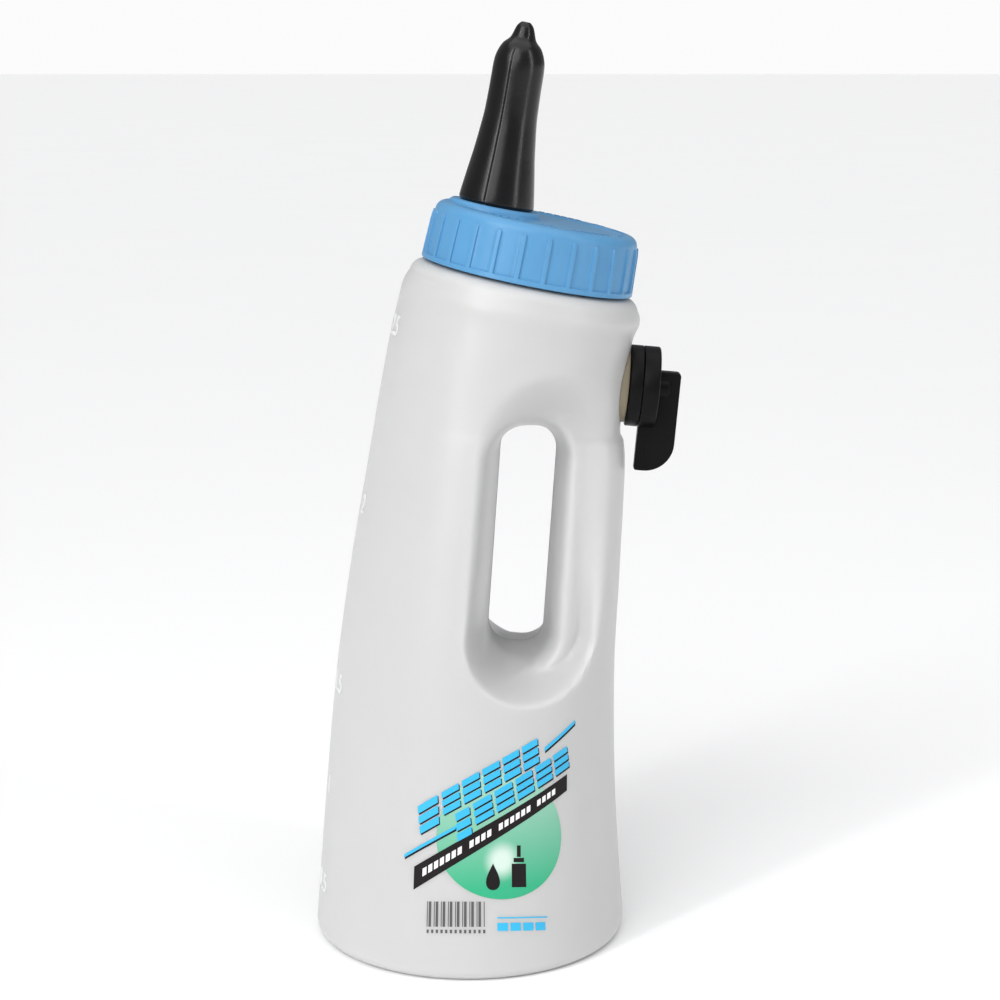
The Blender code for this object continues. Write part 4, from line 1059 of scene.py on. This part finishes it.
def dial_sheets():
    """The turning dial with its softly rounded rim, the hub on its face, and a low ring."""
    face = FLANGE_THICK + GAP
    outer = face + DIAL_THICK
    rim = [(0.0004, face), (VALVE_RADIUS - 0.0003, face)]
    rim += arc((VALVE_RADIUS - 0.0003, face + 0.0003), 0.0003, -90, 0, 3)[1:]
    rim += arc((VALVE_RADIUS - 0.0010, outer - 0.0010), 0.0010, 0, 90, 6)
    rim += [(VALVE_RADIUS - 0.0032, outer), (VALVE_RADIUS - 0.0036, outer - 0.0003)]
    rim += [(HUB_RADIUS + 0.0006, outer - 0.0003), (0.0004, outer - 0.0003)]
    hub = [(0.0004, outer - 0.001), (HUB_RADIUS + 0.0005, outer - 0.001), (HUB_RADIUS, outer + 0.0003)]
    hub += arc((HUB_RADIUS - 0.0014, outer + HUB_HEIGHT - 0.0014), 0.0014, 0, 90, 6)
    hub += [(0.0004, outer + HUB_HEIGHT)]
    return [turned_solid(rim, 112, VALVE), turned_solid(hub, 48, VALVE)]


def lever_outline():
    """The lever seen from the side as (down, out): square shoulders with small rounds, and a
    quarter round at its lower end."""
    seam = FLANGE_THICK + 2 * GAP
    sunk = seam + DIAL_THICK - 0.0015
    out = seam + DIAL_THICK + FIN_REACH
    root = VALVE_RADIUS - 0.003
    points = [(-FIN_ABOVE, sunk), (root, sunk), (root, seam), (FIN_BELOW - 0.0006, seam)]
    points += [(FIN_BELOW - 0.0001, seam + 0.0002), (FIN_BELOW, seam + 0.0009)]
    points += arc((FIN_BELOW - FIN_CORNER, out - FIN_CORNER), FIN_CORNER, 0, 90, 16)
    points += arc((-FIN_ABOVE + 0.0016, out - 0.0016), 0.0016, 90, 180, 5)
    return np.array(points)


def lever_mesh():
    """The lever's outline drawn out to its thickness; a bevel rounds its edges."""
    outline = lever_outline()
    count = len(outline)
    flat = np.stack((outline[:, 0], np.full(count, -FIN_THICK / 2), outline[:, 1]), axis=-1)
    points = placed(np.concatenate((flat, flat * (1, -1, 1))), VALVE)
    here = np.arange(count)
    there = (here + 1) % count
    sides = np.stack((here, there, there + count, here + count), axis=-1).tolist()
    mesh = bpy.data.meshes.new("selector_lever")
    mesh.from_pydata(points.tolist(), [], sides + [here.tolist(), (here[::-1] + count).tolist()])
    return mesh


def pip(place, radius, height):
    """A small round bump on a face whose place is (origin, axis)."""
    turn = np.radians(np.linspace(90.0, 0.0, 5))
    profile = [(0.00005, height)] + [(radius * math.cos(t), height * math.sin(t)) for t in turn[1:]]
    profile.append((radius, -height))
    points, faces = closed_tube(revolve(profile[::-1], turn_angles(16)))
    origin, up = place
    side = np.cross(up, (0.3, 0.5, 0.81))
    side = side / np.linalg.norm(side)
    return origin + points @ np.stack((side, np.cross(up, side), up)), faces


# ---------------------------------------------------------------- finishes
INK_GRAIN = (1500.0, 0.1)


def moulded_group():
    """Node group of a moulded or printed surface: soft ripples and fine grain as a normal, and
    slow changes of tone and gloss."""
    name = "moulded_surface"
    if name in bpy.data.node_groups:
        return bpy.data.node_groups[name]
    tree = bpy.data.node_groups.new(name, "ShaderNodeTree")
    sockets = (
        ("Colour", "NodeSocketColor"), ("Second Colour", "NodeSocketColor"),
        ("Tone Scale", "NodeSocketFloat"), ("Roughness", "NodeSocketFloat"),
        ("Roughness Change", "NodeSocketFloat"),
        ("Grain Scale", "NodeSocketFloat"), ("Grain Strength", "NodeSocketFloat"),
        ("Ripple Scale", "NodeSocketFloat"), ("Ripple Strength", "NodeSocketFloat"),
    )
    for label, kind in sockets:
        tree.interface.new_socket(label, in_out="INPUT", socket_type=kind)
    results = (
        ("Colour", "NodeSocketColor"), ("Roughness", "NodeSocketFloat"), ("Normal", "NodeSocketVector"),
    )
    for label, kind in results:
        tree.interface.new_socket(label, in_out="OUTPUT", socket_type=kind)
    nodes, links = tree.nodes, tree.links
    given = nodes.new("NodeGroupInput")
    result = nodes.new("NodeGroupOutput")
    where = nodes.new("ShaderNodeTexCoord")

    def noise(scale, detail, roughness=0.5):
        """A noise texture in object space with its scale from a named input."""
        node = nodes.new("ShaderNodeTexNoise")
        node.inputs["Detail"].default_value = detail
        node.inputs["Roughness"].default_value = roughness
        links.new(where.outputs["Object"], node.inputs["Vector"])
        links.new(given.outputs[scale], node.inputs["Scale"])
        return node

    tone = noise("Tone Scale", 3.0)
    mix = nodes.new("ShaderNodeMix")
    mix.data_type = "RGBA"
    spread = nodes.new("ShaderNodeMapRange")
    spread.inputs["From Min"].default_value = 0.35
    spread.inputs["From Max"].default_value = 0.65
    links.new(tone.outputs["Fac"], spread.inputs["Value"])
    links.new(spread.outputs["Result"], mix.inputs["Factor"])
    links.new(given.outputs["Colour"], mix.inputs["A"])
    links.new(given.outputs["Second Colour"], mix.inputs["B"])
    links.new(mix.outputs["Result"], result.inputs["Colour"])
    grain = noise("Grain Scale", 4.0, 0.6)
    gloss = nodes.new("ShaderNodeMath")
    gloss.operation = "MULTIPLY_ADD"
    middle = nodes.new("ShaderNodeMath")
    middle.operation = "SUBTRACT"
    middle.inputs[1].default_value = 0.5
    links.new(tone.outputs["Fac"], middle.inputs[0])
    links.new(middle.outputs[0], gloss.inputs[0])
    links.new(given.outputs["Roughness Change"], gloss.inputs[1])
    links.new(given.outputs["Roughness"], gloss.inputs[2])
    links.new(gloss.outputs[0], result.inputs["Roughness"])
    ripple = noise("Ripple Scale", 1.0)
    slow = nodes.new("ShaderNodeBump")
    slow.inputs["Distance"].default_value = 0.0010
    links.new(given.outputs["Ripple Strength"], slow.inputs["Strength"])
    links.new(ripple.outputs["Fac"], slow.inputs["Height"])
    fine = nodes.new("ShaderNodeBump")
    fine.inputs["Distance"].default_value = 0.0001
    links.new(given.outputs["Grain Strength"], fine.inputs["Strength"])
    links.new(grain.outputs["Fac"], fine.inputs["Height"])
    links.new(slow.outputs["Normal"], fine.inputs["Normal"])
    links.new(fine.outputs["Normal"], result.inputs["Normal"])
    return tree


def moulded(name, colour, second, roughness, change=0.08, tone=25.0, grain=(1500.0, 0.2),
            ripple=(60.0, 0.1), **sockets):
    """A material of the moulded surface; further Principled sockets are set as plain values."""
    material = bpy.data.materials.new(name)
    material.use_nodes = True
    tree = material.node_tree
    shader = tree.nodes["Principled BSDF"]
    group = tree.nodes.new("ShaderNodeGroup")
    group.node_tree = moulded_group()
    values = {
        "Colour": (*colour, 1.0), "Second Colour": (*second, 1.0), "Tone Scale": tone,
        "Roughness": roughness, "Roughness Change": change, "Grain Scale": grain[0],
        "Grain Strength": grain[1], "Ripple Scale": ripple[0], "Ripple Strength": ripple[1],
    }
    for label, value in values.items():
        group.inputs[label].default_value = value
    tree.links.new(group.outputs["Colour"], shader.inputs["Base Color"])
    tree.links.new(group.outputs["Roughness"], shader.inputs["Roughness"])
    tree.links.new(group.outputs["Normal"], shader.inputs["Normal"])
    for label, value in sockets.items():
        shader.inputs[label.replace("_", " ")].default_value = value
    return material


def shade(colour, factor):
    """A colour made darker or lighter by a factor."""
    return tuple(channel * factor for channel in colour)


def milky_plastic(colour):
    """Milky polyethylene: light spreads about a centimetre inside it."""
    material = moulded(
        "milky_polyethylene", colour, shade(colour, 0.985), 0.36, change=0.10, tone=18.0,
        grain=(900.0, 0.22), ripple=(75.0, 0.16), IOR=1.5, Subsurface_Weight=0.55,
    )
    shader = material.node_tree.nodes["Principled BSDF"]
    shader.inputs["Subsurface Radius"].default_value = (0.9, 1.0, 1.0)
    shader.inputs["Subsurface Scale"].default_value = 0.010
    return material


def ground_ink(green, pale):
    """The label's round ground: green below, paler above, with a soft light glow low in it."""
    material = moulded("ground_ink", green, green, 0.34, grain=INK_GRAIN, ripple=(75.0, 0.1))
    tree = material.node_tree
    shader = tree.nodes["Principled BSDF"]
    where = tree.nodes.new("ShaderNodeTexCoord")
    part = tree.nodes.new("ShaderNodeSeparateXYZ")
    tree.links.new(where.outputs["Object"], part.inputs["Vector"])
    height = tree.nodes.new("ShaderNodeMapRange")
    height.inputs["From Min"].default_value = (DISC_MIDDLE[1] - DISC_RADIUS) / 1000
    height.inputs["From Max"].default_value = (DISC_MIDDLE[1] + DISC_RADIUS) / 1000
    tree.links.new(part.outputs["Z"], height.inputs["Value"])
    ramp = tree.nodes.new("ShaderNodeValToRGB")
    ramp.color_ramp.elements[0].position = 0.10
    ramp.color_ramp.elements[0].color = (*green, 1.0)
    ramp.color_ramp.elements[1].position = 0.95
    ramp.color_ramp.elements[1].color = (*pale, 1.0)
    tree.links.new(height.outputs["Result"], ramp.inputs["Fac"])
    centre = on_wall(np.array(GLOW_MIDDLE[0]), np.array(GLOW_MIDDLE[1]), np.array(0.0))
    size = np.array(GLOW_SIZE)
    place = tree.nodes.new("ShaderNodeMapping")
    place.inputs["Scale"].default_value = tuple(1 / size)
    place.inputs["Location"].default_value = tuple(-centre / size)
    tree.links.new(where.outputs["Object"], place.inputs["Vector"])
    glow = tree.nodes.new("ShaderNodeTexGradient")
    glow.gradient_type = "SPHERICAL"
    tree.links.new(place.outputs["Vector"], glow.inputs["Vector"])
    soft = tree.nodes.new("ShaderNodeMapRange")
    soft.interpolation_type = "SMOOTHSTEP"
    soft.inputs["From Max"].default_value = 0.75
    soft.inputs["To Max"].default_value = 0.75
    tree.links.new(glow.outputs["Fac"], soft.inputs["Value"])
    mix = tree.nodes.new("ShaderNodeMix")
    mix.data_type = "RGBA"
    mix.inputs["B"].default_value = (0.78, 0.84, 0.80, 1.0)
    tree.links.new(soft.outputs["Result"], mix.inputs["Factor"])
    tree.links.new(ramp.outputs["Color"], mix.inputs["A"])
    tree.links.new(mix.outputs["Result"], shader.inputs["Base Color"])
    return material


def repaint(node, material):
    """Give a shown CAD node a new finish."""
    piece = frame["nodes"][node]
    piece.data.materials.clear()
    piece.data.materials.append(material)


# ---------------------------------------------------------------- operators
class FeederStep(bpy.types.Operator):
    """One step of the build."""

    bl_options = {"REGISTER", "UNDO"}


class FEEDER_OT_bottle(FeederStep):
    """Blown shell with its through handle and threaded neck, its parting lines and marks"""

    bl_idname = "feeder.bottle"
    bl_label = "Bottle"

    def execute(self, context):
        sizes = context.scene.feeder_bottle
        plastic = milky_plastic(sizes.colour)
        points, faces = open_valve_hole(*bottle_skin())
        inner = points - point_normals(points, faces) * sizes.wall
        shell = make_piece(
            "bottle_shell", [walled(points, inner, faces)], "bottle", plastic,
            outward=False, sharp=50.0,
        )
        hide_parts("bottle")
        make_piece(
            "neck_thread", [helix_thread(NECK_THREAD, NECK)], "bottle", plastic
        )
        make_piece(
            "parting_line", parting_lines(sizes.seam_width, sizes.seam_height), "bottle", plastic,
            sharp=60.0,
        )
        marks = raised_marks(sizes.mark_size, sizes.mark_height)
        # painted highlight: the marks are a lighter copy of the wall's plastic, standing in for the light
        # caught by the raised numbers.
        raised = moulded(
            "raised_marks", shade(sizes.colour, 1.30), shade(sizes.colour, 1.24), 0.30,
            grain=(900.0, 0.1), IOR=1.5,
        )
        finish_piece(marks, "graduation_marks", "bottle", raised)
        return {"FINISHED"}


class FEEDER_OT_label(FeederStep):
    """Printed label in five inks"""

    bl_idname = "feeder.label"
    bl_label = "Label"

    def execute(self, context):
        inks = context.scene.feeder_label
        finishes = {
            "label_ground": ground_ink(inks.green, inks.pale),
            "label_dark": moulded(
                "dark_ink", inks.dark, shade(inks.dark, 1.6), 0.40, grain=INK_GRAIN,
                Specular_IOR_Level=0.2,
            ),
            "label_code": moulded("grey_ink", inks.grey, shade(inks.grey, 1.2), 0.34, grain=INK_GRAIN),
            "label_blue": moulded("blue_ink", inks.blue, shade(inks.blue, 0.92), 0.32, grain=INK_GRAIN),
            "label_white": moulded(
                "white_ink", inks.white, shade(inks.white, 0.95), 0.34, grain=INK_GRAIN
            ),
        }
        for name, films in label_art().items():
            sheets = [printed(*flat, lift) for flat, lift in films]
            make_piece(name, sheets, "bottle", finishes[name])
        return {"FINISHED"}


class FEEDER_OT_cap(FeederStep):
    """Ribbed screw cap with its collar, thread and raised dashes"""

    bl_idname = "feeder.cap"
    bl_label = "Screw cap"

    def execute(self, context):
        sizes = context.scene.feeder_cap
        plastic = moulded(
            "blue_polypropylene", sizes.colour, shade(sizes.colour, 0.93), 0.34, change=0.10,
            tone=40.0, grain=(1300.0, 0.30), ripple=(140.0, 0.10), IOR=1.49,
            Specular_IOR_Level=0.28, Subsurface_Weight=0.06, Subsurface_Scale=0.0008,
        )
        skin = cap_skin(sizes.ribs, sizes.rib_depth, sizes.rib_width)
        cap = make_piece(
            "cap_shell", [skin, helix_thread(CAP_THREAD, NECK)], "cap", plastic
        )
        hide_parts("screw_cap")
        make_piece("cap_dashes", cap_dashes(), "cap", plastic)
        return {"FINISHED"}


class FEEDER_OT_teat(FeederStep):
    """Black rubber teat with its parting line"""

    bl_idname = "feeder.teat"
    bl_label = "Teat"

    def execute(self, context):
        rubber = context.scene.feeder_rubber
        finish = moulded(
            "black_teat_rubber", rubber.black, shade(rubber.black, 1.7), 0.24, change=0.06,
            tone=70.0, grain=(1100.0, 0.35), ripple=(160.0, 0.06), Specular_IOR_Level=0.40,
        )
        teat = make_piece("teat_shell", [teat_skin(rubber.seam_depth)], "cap", finish)
        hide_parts("teat")
        return {"FINISHED"}


class FEEDER_OT_valve(FeederStep):
    """Air valve: grommet, fixed base, turning dial and lever"""

    bl_idname = "feeder.valve"
    bl_label = "Air valve"

    def execute(self, context):
        plastic = moulded(
            "black_valve_plastic", context.scene.feeder_valve.colour,
            shade(context.scene.feeder_valve.colour, 1.4), 0.38, change=0.12, tone=60.0,
            grain=(1400.0, 0.40), ripple=(150.0, 0.08), Specular_IOR_Level=0.12,
        )
        cream = context.scene.feeder_rubber.cream
        # painted shade: the grommet's finish takes the rubber colour darkened for the shade it sits in.
        rubber = moulded(
            "cream_rubber", cream, shade(cream, 0.88), 0.55, tone=90.0, grain=(1200.0, 0.35),
            Subsurface_Weight=0.15, Subsurface_Scale=0.001,
        )
        grommet = make_piece("grommet", [grommet_skin()], "bottle", rubber)
        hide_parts("valve_grommet")
        origin, out = VALVE
        front = np.array((0.0, -1.0, 0.0))
        on_base = origin + out * BASE_PIP_OUT + front * (VALVE_RADIUS - 0.00004)
        base = make_piece(
            "valve_base", [valve_base_skin(), pip((on_base, front), *BASE_PIP_SIZE)],
            "bottle", plastic,
        )
        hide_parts("valve_body")
        dial = make_piece("selector_dial", dial_sheets(), "speed_selector", plastic)
        lever = finish_piece(lever_mesh(), "selector_lever", "speed_selector", plastic)
        bevel = lever.modifiers.new("edges", "BEVEL")
        bevel.width = LEVER_BEVEL
        bevel.segments = 4
        bevel.limit_method = "ANGLE"
        bevel.angle_limit = math.radians(50)
        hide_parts("selector")
        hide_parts("selector")
        down = np.array((out[2], 0.0, -out[0]))
        on_tail = origin + out * LEVER_PIP_OUT + down * LEVER_PIP_DOWN + front * (FIN_THICK / 2 - 0.00002)
        lever_pip = pip((on_tail, front), *LEVER_PIP_SIZE)
        make_piece("lever_pip", [lever_pip], "speed_selector", plastic)
        return {"FINISHED"}


class FEEDER_OT_inner(FeederStep):
    """Finishes of the solids shown as they are: seals, clip, spring, check disc and its cage"""

    bl_idname = "feeder.inner"
    bl_label = "Inner parts"

    def execute(self, context):
        rubber = context.scene.feeder_rubber
        valve = context.scene.feeder_valve
        steel = moulded(
            "spring_steel", valve.steel, shade(valve.steel, 0.9), 0.28, grain=(2600.0, 0.25),
            Metallic=1.0,
        )
        seal = moulded("seal_rubber", rubber.cream, shade(rubber.cream, 0.9), 0.55, grain=(1200.0, 0.35))
        ring_rubber = moulded("ring_rubber", rubber.black, shade(rubber.black, 1.5), 0.40)
        disc = moulded(
            "disc_rubber", rubber.clear, shade(rubber.clear, 0.93), 0.42, Subsurface_Weight=0.3,
            Subsurface_Scale=0.001,
        )
        cage = moulded("cage_plastic", valve.colour, shade(valve.colour, 1.4), 0.42, grain=(1400.0, 0.3))
        repaint("cap_seal", seal)
        repaint("selector_seal", ring_rubber)
        repaint("spindle_spring", steel)
        repaint("spindle_clip", steel)
        repaint("check_disc", disc)
        repaint("check_cage", cage)
        return {"FINISHED"}


CAMERA_PLACE = (0.0021, -0.9277, 0.3733)
CAMERA_PITCH = math.radians(11.36)
CAMERA_LENS = 81.36
KEY_SUN = (50.0, (0.40, 0.80, -0.55))            # spread in degrees, direction
OVERHEAD_SUN = (80.0, (0.0, 0.15, -1.0))
LEFT_BOX = (3.0, (0.06, 1.1), (-0.62, -0.76, 0.62))    # watts, size, place
RIGHT_BOX = (2.2, (0.08, 1.0), (0.90, -0.52, 0.66))
FLOOR_REACH = 30.0
BACKDROP = 0.97                                  # brightness of the ground seen behind


def add_sun(name, strength, spread, toward):
    """A soft far light that shines along a direction."""
    light = bpy.data.lights.new(name, "SUN")
    light.energy = strength
    light.angle = math.radians(spread)
    lamp = bpy.data.objects.new(name, light)
    lamp.rotation_euler = Vector(toward).to_track_quat("-Z", "Y").to_euler()
    bpy.context.collection.objects.link(lamp)


def add_panel(name, power, size, place, target=(0.0, 0.0, 0.22)):
    """A soft box that faces the bottle."""
    light = bpy.data.lights.new(name, "AREA")
    light.shape = "RECTANGLE"
    light.size, light.size_y = size
    light.energy = power
    lamp = bpy.data.objects.new(name, light)
    lamp.location = place
    lamp.rotation_euler = (Vector(target) - Vector(place)).to_track_quat("-Z", "Y").to_euler()
    bpy.context.collection.objects.link(lamp)


class FEEDER_OT_stage(FeederStep):
    """Pale floor, soft studio light and the camera"""

    bl_idname = "feeder.stage"
    bl_label = "Stage"

    def execute(self, context):
        sizes = context.scene.feeder_stage
        line = np.linspace(-FLOOR_REACH, FLOOR_REACH, 9)
        x, y = np.meshgrid(line, line)
        points, faces = sheet(np.stack((x, y, np.zeros_like(x)), axis=-1))
        mesh = bpy.data.meshes.new("floor")
        mesh.from_pydata(points.tolist(), [], faces.tolist())
        floor = bpy.data.objects.new("floor", mesh)
        context.collection.objects.link(floor)
        mesh.materials.append(moulded(
            "studio_floor", sizes.floor, shade(sizes.floor, 0.99), 0.75, tone=3.0,
            grain=(400.0, 0.05), ripple=(20.0, 0.0), Specular_IOR_Level=0.2,
        ))
        world = bpy.data.worlds.new("studio")
        world.use_nodes = True
        tree = world.node_tree
        dim = tree.nodes["Background"]
        dim.inputs["Strength"].default_value = sizes.ambient
        dim.inputs["Color"].default_value = (0.97, 0.985, 1.0, 1.0)
        bright = tree.nodes.new("ShaderNodeBackground")
        bright.inputs["Strength"].default_value = BACKDROP
        bright.inputs["Color"].default_value = (1.0, 1.0, 1.0, 1.0)
        rays = tree.nodes.new("ShaderNodeLightPath")
        pick = tree.nodes.new("ShaderNodeMixShader")
        tree.links.new(rays.outputs["Is Camera Ray"], pick.inputs["Fac"])
        tree.links.new(dim.outputs["Background"], pick.inputs[1])
        tree.links.new(bright.outputs["Background"], pick.inputs[2])
        tree.links.new(pick.outputs["Shader"], tree.nodes["World Output"].inputs["Surface"])
        context.scene.world = world
        add_sun("key", sizes.key, *KEY_SUN)
        add_sun("overhead", sizes.overhead, *OVERHEAD_SUN)
        add_panel("left_box", *LEFT_BOX)
        add_panel("right_box", *RIGHT_BOX)
        data = bpy.data.cameras.new("camera")
        data.lens = CAMERA_LENS
        data.sensor_width = 36.0
        camera = bpy.data.objects.new("camera", data)
        camera.location = CAMERA_PLACE
        camera.rotation_euler = (math.pi / 2 - CAMERA_PITCH, 0.0, 0.0)
        context.collection.objects.link(camera)
        context.scene.camera = camera
        context.scene.view_settings.view_transform = "Standard"
        return {"FINISHED"}


STEPS = (
    FEEDER_OT_bottle, FEEDER_OT_label, FEEDER_OT_cap, FEEDER_OT_teat, FEEDER_OT_valve,
    FEEDER_OT_inner, FEEDER_OT_stage,
)


class FEEDER_PT_panel(bpy.types.Panel):
    """Sidebar panel with one button for each step"""

    bl_idname = "FEEDER_PT_panel"
    bl_label = "Feeding Bottle"
    bl_space_type = "VIEW_3D"
    bl_region_type = "UI"
    bl_category = "Feeding Bottle"

    def draw(self, context):
        for step in STEPS:
            self.layout.operator(step.bl_idname)


GROUPS = {
    "feeder_bottle": FEEDER_PG_bottle,
    "feeder_label": FEEDER_PG_label,
    "feeder_cap": FEEDER_PG_cap,
    "feeder_rubber": FEEDER_PG_rubber,
    "feeder_valve": FEEDER_PG_valve,
    "feeder_stage": FEEDER_PG_stage,
}


def register():
    """Make the settings, the operators and the panel known to Blender."""
    for group in GROUPS.values():
        bpy.utils.register_class(group)
    for step in STEPS:
        bpy.utils.register_class(step)
    bpy.utils.register_class(FEEDER_PT_panel)
    for name, group in GROUPS.items():
        setattr(bpy.types.Scene, name, bpy.props.PointerProperty(type=group))


def unregister():
    """Take them away again, in the opposite order."""
    for name in GROUPS:
        delattr(bpy.types.Scene, name)
    bpy.utils.unregister_class(FEEDER_PT_panel)
    for step in reversed(STEPS):
        bpy.utils.unregister_class(step)
    for group in reversed(GROUPS.values()):
        bpy.utils.unregister_class(group)


def main():
    register()
    bpy.ops.feeder.bottle()
    bpy.ops.feeder.label()
    bpy.ops.feeder.cap()
    bpy.ops.feeder.teat()
    bpy.ops.feeder.valve()
    bpy.ops.feeder.inner()
    bpy.ops.feeder.stage()


if __name__ == "__main__":
    main()
